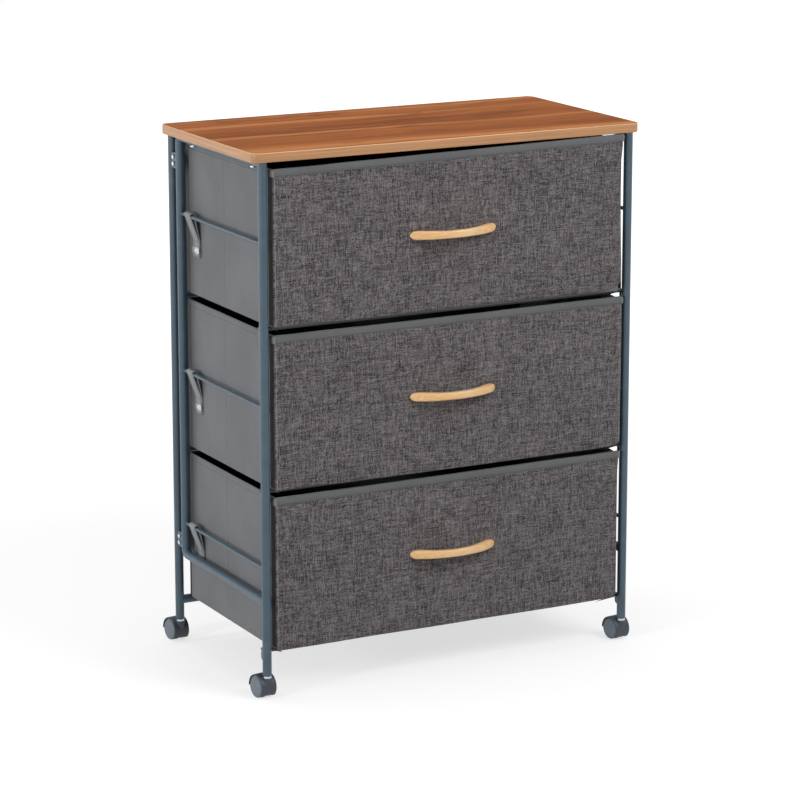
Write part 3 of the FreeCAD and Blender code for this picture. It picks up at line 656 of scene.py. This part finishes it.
class DRESSER_OT_boxes(bpy.types.Operator):
    """Sew the fabric boxes of the drawers"""

    bl_idname = "dresser.boxes"
    bl_label = "Fabric boxes"
    # The fold down each side, where the empty box packs flat, as a place along Y
    fold = 0.004

    def execute(self, context):
        sizes, colours = sizes_now(), colours_now()
        # the sides get a painted shade 3.5 mm wide at the rear corner, which also darkens the rear wall
        side = finish_named("side_fabric", felt, tuple(colours.side), bound=BOX_HIGH.y - 0.0035)
        thread = finish_named("side_thread", felt, shade(66, 68, 71), dots=0.0008)
        base = finish_named("base_board_cover", felt, tuple(colours.base))
        for seed, level in enumerate(LEVELS):
            wear([level + "_drawer_base"], base)
            self.box(level, seed + 1, sizes, side)
            self.seams(level, seed + 1, sizes, thread)
        return {"FINISHED"}

    def drape(self, spot, low, high, sizes, seed):
        """Where a point of the flat box lies on the sewn one."""
        x, y, z = spot
        drop = high.z - z
        deep = (y - low.y) / (high.y - low.y)
        wide = (x - low.x) / (high.x - low.x)
        belly = swell((z - low.z) / (high.z - low.z))
        hem = 1 - ease(drop, sizes.side_hem + 0.0015, sizes.side_hem + 0.0035)
        lift = (hem - bell(drop - sizes.side_hem, 0.0011)) * 0.0005
        result = Vector(spot)
        if abs(x) > high.x - 0.0005:
            sag = sizes.side_sag * belly * swell(deep)
            crease = bell(y - self.fold, 0.0016) * 0.0009
            wave = ripple((0, y, z), 0.07, seed) * 0.0006 * belly
            result.x -= math.copysign(sag + crease - wave - lift, x)
        elif y > high.y - 0.0005:
            sag = sizes.side_sag * 1.4 * belly * swell(wide)
            wave = ripple((x, 3, z), 0.09, seed) * 0.0008 * belly
            result.y -= sag - wave - lift
        pinch = ease(abs(x), high.x - 0.004, high.x) * ease(y, high.y - 0.004, high.y)
        result.y += pinch * sizes.corner_seam
        tuck = ease(x, high.x - 0.03, high.x) * (1 - ease(y, low.y + 0.002, low.y + 0.02))
        result.x -= sizes.edge_pull * tuck
        if drop < 0.0005:
            result.z += ripple((x, y, 9), 0.05, seed) * 0.0005 - 0.0002
        return result

    def box(self, level, seed, sizes, finish):
        low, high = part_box(level + "_drawer_box")
        bm = bmesh.new()
        block(bm, low, high)
        lids = [f for f in bm.faces if f.normal.z > 0.5]
        bmesh.ops.delete(bm, geom=lids, context="FACES_ONLY")
        corner_round, foot_round = 0.0009, 0.0022
        soften(bm, edges_along(bm, 2), corner_round, 2)
        soften(bm, edges_at(bm, 2, low.z), foot_round, 2)
        hem = high.z - sizes.side_hem
        rows = steps(low.z, hem - 0.006, 0.014)
        rows += [hem - d for d in (0.005, 0.0035, 0.0022, 0.0011, 0.0, -0.0011, -0.0022)]
        slice_up(bm, 2, rows)
        columns = steps(low.y + 0.002, high.y - 0.002, 0.012)
        columns += [self.fold + d for d in (-0.003, -0.0015, 0, 0.0015, 0.003)]
        slice_up(bm, 1, columns)
        slice_up(bm, 0, steps(low.x + 0.002, high.x - 0.002, 0.022))
        for vert in bm.verts:
            vert.co = self.drape(vert.co, low, high, sizes, seed)
        body = level + "_drawer"
        item = piece(level + "_fabric_box", bm, body, finish, [level + "_drawer_box"])
        wall = item.modifiers.new("wall", "SOLIDIFY")
        wall.thickness = sizes.cloth
        wall.offset = -1
        wall.use_even_offset = True

    def seams(self, level, seed, sizes, finish):
        """Thread rows under the hem and down the crease."""
        low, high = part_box(level + "_drawer_box")
        bm = bmesh.new()
        z = high.z - sizes.side_hem
        radius = sizes.stitch_size
        for _, side in SIDES:
            x = (high.x - 0.0002) * side
            stitch_row(bm, (x, low.y + 0.008, z), (x, high.y - 0.008, z), sizes.stitch_pitch, radius)
            stitch_row(bm, (x, self.fold, high.z - 0.001), (x, self.fold, z), 0.0025, radius * 1.3)
        y = high.y - 0.0002
        stitch_row(bm, (low.x + 0.008, y, z), (high.x - 0.008, y, z), sizes.stitch_pitch, radius)
        for vert in bm.verts:
            vert.co = self.drape(vert.co, low, high, sizes, seed)
        piece(level + "_box_stitches", bm, level + "_drawer", finish, recalc=False)


class DRESSER_OT_fronts(bpy.types.Operator):
    """Cover the drawer fronts and tape their top edges"""

    bl_idname = "dresser.fronts"
    bl_label = "Drawer fronts"
    # How each front hangs. Shares of the pull at the right edge (tight), of how much of it goes
    # towards the foot (loosen), of the cut at the right foot (cut) and of the hitch at the left
    # foot (hitch). Lengths: drop of the left end (sunk), rise to the right, lift of the foot.
    fit = {
        "top": {"seed": 5, "tight": 1.0, "loosen": 0.75, "cut": 1.0, "hitch": 0.36,
                "sunk": 0.0012, "rise": 0.0096, "raised": 0.0032},
        "middle": {"seed": 6, "tight": -0.25, "loosen": 0.5, "cut": 0.4, "hitch": 0.36,
                   "sunk": 0.0018, "rise": 0.0032, "raised": 0.0},
        "bottom": {"seed": 7, "tight": 0.75, "loosen": 0.1, "cut": 0.3, "hitch": 0.0,
                   "sunk": 0.0012, "rise": 0.0022, "raised": -0.0008},
    }

    def execute(self, context):
        sizes, colours = sizes_now(), colours_now()
        weave = finish_named("heathered_weave", front_weave, colours, sizes)
        tape = finish_named("hem_tape", felt, tuple(colours.hem), dots=0.0012, depth=0.0002)
        thread = finish_named("hem_thread", felt, shade(84, 85, 87), dots=0.0008)
        # the folds are a lighter copy of the hem tape's grey: painted highlight where the tape turns round
        # the corners
        fold = finish_named("hem_fold", felt, shade(134, 133, 133), dots=0.0011, depth=0.0003)
        for level in LEVELS:
            self.front(level, sizes, weave)
            self.hem(level, sizes, tape)
            self.folds(level, sizes, fold)
            self.wraps(level, sizes, weave)
            self.stitches(level, sizes, thread)
        return {"FINISHED"}

    def drape(self, spot, level, sizes):
        """Where a point of the flat panel lies once the fabric is pulled round."""
        low, high = FRONTS[level]
        fit = self.fit[level]
        x, y, z = spot
        wide = (x - low.x) / (high.x - low.x)
        drop = (high.z - z) / (high.z - low.z)
        pull = (0.4 + 0.6 * ease(drop, 0.02, 0.14)) * (1 - ease(drop, 0.35, 0.95) * fit["loosen"])
        result = Vector(spot)
        result.x -= pull * sizes.edge_pull * fit["tight"] * ease(x, high.x - 0.06, high.x)
        if y < (low.y + high.y) / 2:
            wave = ripple((x, 0, z), 0.11, fit["seed"]) * 0.0005
            result.y -= sizes.front_crown * swell(wide) * swell(drop) + wave
        cut = fit["cut"] * ease(x, high.x - 0.032, high.x) * sizes.corner_cut
        hitch = fit["hitch"] * bell(x + 0.225, 0.03) * sizes.corner_cut
        hitch += fit["raised"] * (0.4 + 0.6 * ease(wide, 0.1, 0.6))
        foot = 1 - ease(z, low.z, low.z + 0.03)
        result.z += foot * (ripple((x, 4, 0), 0.08, fit["seed"]) * 0.0006 + cut + hitch)
        result.z += (fit["rise"] * wide - fit["sunk"]) * (1 - drop)
        return result

    def foot_corner(self, bm, x, z):
        """The edge from front to back at a lower corner."""
        gaps = [(e, e.verts[0].co - Vector((x, 0, z))) for e in edges_along(bm, 1)]
        return [e for e, gap in gaps if abs(gap.x) < SAME and abs(gap.z) < SAME]

    def front(self, level, sizes, finish):
        low, high = FRONTS[level]
        bm = bmesh.new()
        block(bm, low, high)
        right_round, left_round, rim_round = 0.007, 0.004, 0.0017
        soften(bm, self.foot_corner(bm, high.x, low.z), right_round, 5)
        soften(bm, self.foot_corner(bm, low.x, low.z), left_round, 4)
        soften(bm, edges_at(bm, 1, low.y), rim_round, 3)
        slice_up(bm, 0, steps(low.x + 0.004, high.x - 0.004, 0.018))
        slice_up(bm, 2, steps(low.z + 0.004, high.z - 0.004, 0.012))
        for vert in bm.verts:
            vert.co = self.drape(vert.co, level, sizes)
        body = level + "_drawer"
        piece(level + "_covered_front", bm, body, finish, [level + "_drawer_front"])

    def hem(self, level, sizes, finish):
        low, high = FRONTS[level]
        seed = self.fit[level]["seed"]
        proud = sizes.hem_proud
        floor = high.z - sizes.hem_height
        start = (low.x - 0.0002, low.y - proud, floor)
        bm = bmesh.new()
        block(bm, start, (high.x + 0.0002, high.y + proud * 3, high.z + proud))
        soften(bm, edges_along(bm, 0), 0.0005, 2)
        slice_up(bm, 0, steps(low.x, high.x, 0.012))
        for vert in bm.verts:
            x, _, z = vert.co
            vert.co = self.drape(vert.co, level, sizes)
            if z < floor + 0.001:
                vert.co.z += ripple((x, 8, 0), 0.012, seed) * 0.0004
            if z > high.z:
                vert.co.z += ripple((x, 2, 0), 0.06, seed) * 0.0004
        piece(level + "_front_hem", bm, level + "_drawer", finish)

    def folds(self, level, sizes, finish):
        """The tape's ends, turned under and crumpled a little."""
        low, high = FRONTS[level]
        bm = bmesh.new()
        near = low.y - sizes.hem_proud - 0.0005
        for _, side in SIDES:
            outer, inner = (high.x + 0.0016) * side, (high.x - 0.0012) * side
            start = (min(outer, inner), near, high.z - sizes.hem_height + 0.0004)
            block(bm, start, (max(outer, inner), low.y + 0.0075, high.z + 0.0003))
        soften(bm, bm.edges[:], 0.0006, 2)
        slice_up(bm, 2, steps(high.z - sizes.hem_height, high.z, 0.0015))
        for vert in bm.verts:
            crumple = ripple(vert.co, 0.0035, self.fit[level]["seed"]) * 0.0005
            vert.co = self.drape(vert.co, level, sizes)
            vert.co += Vector((crumple, -abs(crumple), crumple))
        piece(level + "_hem_folds", bm, level + "_drawer", finish)

    def wraps(self, level, sizes, finish):
        """The front's cloth, turned round onto the sides of the box, which the weave colours near black as
        painted shadow of the front post.
        """
        low, high = FRONTS[level]
        bm = bmesh.new()
        for _, side in SIDES:
            inner, outer = (high.x - 0.0003) * side, (high.x + 0.0005) * side
            start = (min(inner, outer), low.y + 0.0012, low.z + 0.004)
            block(bm, start, (max(inner, outer), high.y + 0.012, high.z - 0.0015))
        soften(bm, bm.edges[:], 0.0002, 2)
        slice_up(bm, 2, steps(low.z + 0.006, high.z - 0.004, 0.006))
        for vert in bm.verts:
            if vert.co.y > high.y + 0.006:
                vert.co.y += ripple((vert.co.x, 0, vert.co.z), 0.02, 3) * 0.0006
            if vert.co.x > 0:
                flat = Vector((vert.co.x, high.y, vert.co.z))
                vert.co.x += self.drape(flat, level, sizes).x - flat.x
        piece(level + "_front_wraps", bm, level + "_drawer", finish)

    def stitches(self, level, sizes, finish):
        low, high = FRONTS[level]
        z = high.z - sizes.hem_height + 0.0015
        y = low.y - sizes.hem_proud
        start, end = (low.x + 0.002, y, z), (high.x - 0.002, y, z)
        bm = bmesh.new()
        stitch_row(bm, start, end, sizes.stitch_pitch, sizes.stitch_size)
        for vert in bm.verts:
            vert.co = self.drape(vert.co, level, sizes)
        piece(level + "_hem_stitches", bm, level + "_drawer", finish, recalc=False)


class DRESSER_OT_handles(bpy.types.Operator):
    """Shape the wooden bow handles"""

    bl_idname = "dresser.handles"
    bl_label = "Bow handles"
    # Each handle's play in its screw holes: across, up and slope
    hang = {"top": (-0.001, 0.001, 0.012), "middle": (-0.0008, 0, 0.002), "bottom": (-0.0008, 0, 0.002)}
    thick = 0.009

    def execute(self, context):
        wood = finish_named("lacquered_handle_wood", handle_wood, colours_now())
        for level in LEVELS:
            self.handle(level, wood)
        return {"FINISHED"}

    def arc(self, x, half, rise):
        """Height at x of a round bow over its chord, which is two halves long."""
        radius = (half * half + rise * rise) / (rise * 2)
        if abs(x) >= half:
            return 0.0
        return math.sqrt(radius * radius - x * x) - (radius - rise)

    def handle(self, level, finish):
        low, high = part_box(level + "_drawer_handle")
        half, rise = high.x, high.y - low.y
        across, lift, slope = self.hang[level]
        middle = (low.z + high.z) / 2
        # How far the outer bow's chord runs past the ends, and the inner one's stops short
        outer_past, inner_short = 0.0035, 0.015
        bm = bmesh.new()
        block(bm, (low.x, -self.thick, low.z), (high.x, 0, high.z))
        end_round, rim_round = 0.0056, 0.0026
        soften(bm, edges_along(bm, 1), end_round, 7)
        soften(bm, edges_at(bm, 1, -self.thick) + edges_at(bm, 1, 0), rim_round, 4)
        slice_up(bm, 0, steps(low.x, high.x, 0.0035))
        for vert in bm.verts:
            x, y, z = vert.co
            outer = self.arc(x, half + outer_past, rise)
            inner = self.arc(x, half - inner_short, rise - self.thick)
            vert.co.y = high.y - (inner - (outer - inner) * y / self.thick)
            tip = max(0.0, abs(x) - (half - 0.01)) / 0.0125
            full = 0.87 + 0.13 * ease(abs(x), 0.015, 0.05)
            vert.co.z = middle + (z - middle) * full * math.sqrt(max(0.0, 1 - tip * tip))
            vert.co += Vector((across, 0, lift + x * slope))
        body = level + "_drawer"
        piece(level + "_bow_handle", bm, body, finish, [level + "_drawer_handle"])


class DRESSER_OT_slings(bpy.types.Operator):
    """Sew the webbing slings that hang the drawers from the guide rods"""

    bl_idname = "dresser.slings"
    bl_label = "Webbing slings"
    sewn_length = 0.024

    def execute(self, context):
        sizes, colours = sizes_now(), colours_now()
        cloth = finish_named("sling_webbing", webbing_cloth, colours)
        zinc = finish_named("bright_zinc", zinc_plate, colours)
        thread = finish_named("sling_thread", felt, shade(70, 72, 74), dots=0.0008)
        for level in LEVELS:
            self.slings(level, sizes, cloth, thread)
            self.clips(level, zinc)
        return {"FINISHED"}

    def slings(self, level, sizes, cloth, thread):
        rod_low, rod_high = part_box(f"right_{level}_guide_rod")
        low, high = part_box(level + "_drawer_slings")
        centre = (rod_low + rod_high) / 2
        play = 0.00045
        radius = (rod_high.x - rod_low.x) / 2 + play + sizes.strap_thick / 2
        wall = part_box(level + "_drawer_box")[1].x + sizes.strap_thick * 0.6
        sewn = low.z + self.sewn_length
        bm, threads = bmesh.new(), bmesh.new()
        for _, side in SIDES:
            near, far = low.y, high.y
            start = [bm.verts.new((wall * side, y, low.z + 0.0002)) for y in (near, far)]
            edge = bm.edges.new(start)
            rod_x = centre.x * side
            path = [(wall * side, sewn), (rod_x - radius * side * 0.98, centre.z - 0.003)]
            for x, z in path:
                edge = self.lead(bm, edge, x, z, 5)
            turned = bmesh.ops.spin(
                bm,
                geom=[*edge.verts, edge],
                cent=(rod_x, 0, centre.z),
                axis=(0, side, 0),
                angle=math.pi * 1.02,
                steps=12,
            )
            edge = [g for g in turned["geom_last"] if isinstance(g, bmesh.types.BMEdge)][0]
            skin = (wall + sizes.strap_thick * 1.05) * side
            for x, z in ((skin, sewn), (skin, low.z)):
                edge = self.lead(bm, edge, x, z, 6)
            face = (wall + sizes.strap_thick * 1.6) * side
            for drop in (0.0015, 0.0155):
                start, end = (face, near + 0.003, sewn - drop), (face, far - 0.003, sewn - drop)
                stitch_row(threads, start, end, 0.0026, 0.00035)
        body, kept = level + "_drawer", level + "_drawer_slings"
        item = piece(level + "_slings", bm, body, cloth, [kept], recalc=False)
        wall = item.modifiers.new("webbing", "SOLIDIFY")
        wall.thickness = sizes.strap_thick
        wall.offset = 0
        piece(level + "_sling_stitches", threads, body, thread, recalc=False)

    def lead(self, bm, edge, x, z, count):
        """Take the strap straight on to x, z in a few steps."""
        first = edge.verts[0].co.copy()
        step = Vector(((x - first.x) / count, 0, (z - first.z) / count))
        for _ in range(count):
            grown = bmesh.ops.extrude_edge_only(bm, edges=[edge])["geom"]
            bmesh.ops.translate(bm, vec=step, verts=[g for g in grown if isinstance(g, bmesh.types.BMVert)])
            edge = [g for g in grown if isinstance(g, bmesh.types.BMEdge)][0]
        return edge

    def clips(self, level, finish):
        low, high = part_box(level + "_sling_clips")
        bm = bmesh.new()
        for _, side in SIDES:
            inner, outer = (high.x - 0.0015) * side, high.x * side
            start = (min(inner, outer), low.y, low.z)
            verts = block(bm, start, (max(inner, outer), high.y, high.z))
            edges = {e for v in verts for e in v.link_edges}
            soften(bm, [e for e in edges if runs_along(e, 0)], 0.002, 4)
        soften(bm, [e for e in bm.edges if not runs_along(e, 0) and e.calc_length() > 0.004], 0.0004, 2)
        middle = (low + high) / 2
        for _, side in SIDES:
            spot = (high.x * side, middle.y, middle.z)
            matrix = Matrix.Translation(spot) @ Matrix.Diagonal((0.0008, 0.0024, 0.0024, 1))
            bmesh.ops.create_uvsphere(bm, u_segments=16, v_segments=8, radius=1, matrix=matrix)
        piece(level + "_clips", bm, level + "_drawer", finish, [level + "_sling_clips"])


class DRESSER_OT_casters(bpy.types.Operator):
    """Mould the hoods and wheels of the casters"""

    bl_idname = "dresser.casters"
    bl_label = "Casters"

    def execute(self, context):
        colours = colours_now()
        hood = finish_named("hood_plastic", moulded_plastic, tuple(colours.hood), rough=0.42)
        disc = finish_named("wheel_plastic", moulded_plastic, tuple(colours.wheel), rough=0.46)
        zinc = finish_named("bright_zinc", zinc_plate, colours)
        for corner in CORNERS:
            wear([corner + "_caster_axle"], zinc)
            low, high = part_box(corner + "_caster_axle")
            centre = (low + high) / 2
            set_down = Matrix.Translation(centre) @ Matrix.Rotation(CASTER_TURN, 4, "Z")
            self.hood(corner, set_down, hood)
            for name, side in SIDES:
                self.wheel(corner, name, side, set_down, disc)
        return {"FINISHED"}

    def hood(self, corner, set_down, finish):
        """A shell over both wheels, a web between them and a boss for the stem.

        The shell's two ends are arched between the wheels.
        """
        half, outer, inner, arch_half = 0.0122, 0.0177, 0.0162, 0.0065
        bm = bmesh.new()
        flat = [x * 0.001 for x in range(-9, 10, 2)]
        across = [-half, -half + 0.0004, -half + 0.0012, *flat, half - 0.0012, half - 0.0004, half]
        drops = [0.0011, 0.0004, 0.0001] + [0] * len(flat) + [0.0001, 0.0004, 0.0011]
        low_turn, high_turn = math.radians(-4), math.radians(222)
        hollow_from, rear_to = math.radians(196), math.radians(22)
        top = [(x, outer - d, 0) for x, d in zip(across, drops)]
        under = [(x, inner, 0) for x in reversed(across)]
        loop = [bm.verts.new(spot) for spot in top + under]
        cap = bm.faces.new(loop)
        bmesh.ops.spin(
            bm, geom=[cap], cent=(0, 0, 0), axis=(1, 0, 0), angle=high_turn - low_turn, steps=44
        )
        bmesh.ops.rotate(bm, verts=bm.verts, cent=(0, 0, 0), matrix=Matrix.Rotation(low_turn, 3, "X"))
        for vert in bm.verts:
            x, y, z = vert.co
            around = math.atan2(z, y)
            if around < math.radians(-90):
                around += math.tau
            arch = math.cos(min(1, abs(x) / arch_half) * math.pi) * 0.5 + 0.5
            pull = ease(around, hollow_from, high_turn) * arch * math.radians(14)
            rear = (1 - ease(around, low_turn, rear_to)) * arch * math.radians(8)
            turn = around - pull + rear
            radius = math.hypot(y, z)
            vert.co.y, vert.co.z = radius * math.cos(turn), radius * math.sin(turn)
        web = [(-0.0038, 0.0022, 0), (-0.0038, 0.0128, 0), (-0.0034, 0.0134, 0)]
        web += [(0.0034, 0.0134, 0), (0.0038, 0.0128, 0), (0.0038, 0.0022, 0)]
        lathe(bm, web + web[:1], (0, 0, 0), (1, 0, 0), 40)
        back, top_z = -CASTER_TRAIL, 0.0302 - WHEEL_R
        boss = [(0.0, back, -0.004), (0.0046, back, -0.004), (0.0056, back, 0.001), (0.0063, back, 0.008)]
        boss += [(0.0068, back, 0.0125), (0.0068, back, top_z - 0.0008), (0.0060, back, top_z)]
        boss += [(0.0026, back, top_z), (0.0026, back, top_z - 0.004), (0.0, back, top_z - 0.004)]
        lathe(bm, boss, (0, back, 0), (0, 0, 1), 36)
        bmesh.ops.transform(bm, matrix=set_down, verts=bm.verts)
        body = corner + "_caster"
        piece(corner + "_hood", bm, body, finish, [corner + "_caster_hood"])

    def wheel(self, corner, name, side, set_down, finish):
        """A wheel with a rounded tread and a flush, lightly dished cap."""
        near, far = 0.0043, 0.0117
        profile = [(near, 0.00205), (near, 0.0135), (near + 0.0003, 0.0149), (near + 0.0009, WHEEL_R)]
        profile += [(far - 0.0016, WHEEL_R), (far - 0.0006, WHEEL_R - 0.0004)]
        profile += [(far - 0.0001, WHEEL_R - 0.0012)]
        profile += [(far, 0.0140), (far - 0.0005, 0.0136), (far - 0.0005, 0.0131), (far - 0.0001, 0.0127)]
        profile += [(far + 0.0001, 0.0090), (far + 0.0002, 0.0040), (far + 0.0002, 0.0)]
        bm = bmesh.new()
        lathe(bm, [(x * side, r, 0) for x, r in profile], (0, 0, 0), (1, 0, 0), 48)
        holes = [e for e in bm.edges if e.is_boundary]
        if holes:
            bmesh.ops.holes_fill(bm, edges=holes, sides=0)
        bmesh.ops.transform(bm, matrix=set_down, verts=bm.verts)
        node = f"{corner}_{name}_wheel"
        piece(node + "_moulding", bm, f"{corner}_wheel_{name}", finish, [node])


class DRESSER_OT_stage(bpy.types.Operator):
    """Set the floor, the lights and the camera"""

    bl_idname = "dresser.stage"
    bl_label = "Stage"

    def execute(self, context):
        self.floor()
        self.world()
        self.lamp("key", (-3.3, -0.95, 1.05), 0.5, 34)
        self.lamp("left_softbox", (-2.7, 2.1, 1.0), 2.6, 26)
        self.lamp("high_front", (1.3, -2.5, 2.6), 1.8, 54)
        self.lamp("overhead", (0.0, 0.3, 3.2), 1.6, 22)
        self.camera()
        return {"FINISHED"}

    def floor(self):
        bm = bmesh.new()
        bmesh.ops.create_grid(bm, x_segments=1, y_segments=1, size=7)
        mesh = bpy.data.meshes.new("studio_floor")
        bm.to_mesh(mesh)
        bm.free()
        paper = Finish("studio_paper")
        rays = paper.node("ShaderNodeLightPath")
        outputs = rays.socket.node.outputs
        seen = [Value(paper, outputs[n]) for n in ("Is Camera Ray", "Is Glossy Ray", "Is Transmission Ray")]
        shown = (seen[0] + seen[1] + seen[2]).clamp()
        _, (x, y, _) = paper.place()
        far = ((x * x + y * y) ** 0.5).between(0.7, 2.2)
        glow = paper.mix(far, (0.66, 0.66, 0.66), (1, 1, 1))
        glow = paper.mix(shown, (0, 0, 0), glow)
        mesh.materials.append(
            paper.finish(
                Base_Color=(0.42, 0.42, 0.42),
                Roughness=1.0,
                Specular_IOR_Level=0.0,
                Emission_Color=glow,
                Emission_Strength=1.0,
            )
        )
        item = bpy.data.objects.new("studio_floor", mesh)
        bpy.context.scene.collection.objects.link(item)

    def world(self):
        """Even light on the pieces, and plain white behind them."""
        world = bpy.data.worlds.new("studio")
        world.use_nodes = True
        tree = world.node_tree
        tree.nodes.clear()
        rays = tree.nodes.new("ShaderNodeLightPath")
        both = tree.nodes.new("ShaderNodeMixShader")
        out = tree.nodes.new("ShaderNodeOutputWorld")
        tree.links.new(rays.outputs["Is Camera Ray"], both.inputs[0])
        for socket, strength in ((1, 0.42), (2, 1.0)):
            glow = tree.nodes.new("ShaderNodeBackground")
            glow.inputs["Color"].default_value = (1, 1, 1, 1)
            glow.inputs["Strength"].default_value = strength
            tree.links.new(glow.outputs[0], both.inputs[socket])
        tree.links.new(both.outputs[0], out.inputs[0])
        bpy.context.scene.world = world

    def lamp(self, name, spot, size, power):
        light = bpy.data.lights.new(name, "AREA")
        light.shape = "DISK"
        light.size = size
        light.energy = power
        item = bpy.data.objects.new(name, light)
        item.location = spot
        aim = Vector((0, 0, 0.38)) - Vector(spot)
        item.rotation_euler = aim.to_track_quat("-Z", "Y").to_euler()
        bpy.context.scene.collection.objects.link(item)

    def camera(self):
        yaw, pitch, roll = 0.4836, 0.22267, 0.0004
        stand = Vector((-2.05958, -3.92012, 1.4211))
        focal_pixels, frame_pixels, film = 3174.3, 800, 36
        ahead = Vector((math.sin(yaw) * math.cos(pitch), math.cos(yaw) * math.cos(pitch), -math.sin(pitch)))
        right = Vector((math.cos(yaw), -math.sin(yaw), 0))
        up = right.cross(ahead)
        across = right * math.cos(roll) - up * math.sin(roll)
        upward = right * math.sin(roll) + up * math.cos(roll)
        lens = bpy.data.cameras.new("camera")
        lens.sensor_width = film
        lens.lens = focal_pixels / frame_pixels * film
        lens.shift_y = -0.05
        lens.clip_end = 60
        item = bpy.data.objects.new("camera", lens)
        turn = Matrix((across, upward, -ahead)).transposed().to_4x4()
        item.matrix_world = Matrix.Translation(stand) @ turn
        bpy.context.scene.collection.objects.link(item)
        bpy.context.scene.camera = item
        bpy.context.scene.view_settings.view_transform = "Standard"


OPERATORS = (
    DRESSER_OT_frame,
    DRESSER_OT_top,
    DRESSER_OT_boxes,
    DRESSER_OT_fronts,
    DRESSER_OT_handles,
    DRESSER_OT_slings,
    DRESSER_OT_casters,
    DRESSER_OT_stage,
)


class DRESSER_PT_panel(bpy.types.Panel):
    """The dresser's pieces, sizes and colours"""

    bl_label = "Dresser"
    bl_space_type = "VIEW_3D"
    bl_region_type = "UI"
    bl_category = "Dresser"

    def draw(self, context):
        layout = self.layout
        for item in OPERATORS:
            layout.operator(item.bl_idname, text=item.bl_label)
        for group in (context.scene.dresser_sizes, context.scene.dresser_colours):
            column = layout.column()
            for name in group.__annotations__:
                column.prop(group, name)


CLASSES = (DresserSizes, DresserColours, *OPERATORS, DRESSER_PT_panel)


def register():
    for item in CLASSES:
        bpy.utils.register_class(item)
    bpy.types.Scene.dresser_sizes = bpy.props.PointerProperty(type=DresserSizes)
    bpy.types.Scene.dresser_colours = bpy.props.PointerProperty(type=DresserColours)


def unregister():
    del bpy.types.Scene.dresser_colours
    del bpy.types.Scene.dresser_sizes
    for item in reversed(CLASSES):
        bpy.utils.unregister_class(item)


def main():
    register()
    bpy.ops.dresser.frame()
    bpy.ops.dresser.top()
    bpy.ops.dresser.boxes()
    bpy.ops.dresser.fronts()
    bpy.ops.dresser.handles()
    bpy.ops.dresser.slings()
    bpy.ops.dresser.casters()
    bpy.ops.dresser.stage()
    bpy.context.view_layer.update()


if __name__ == "__main__":
    main()
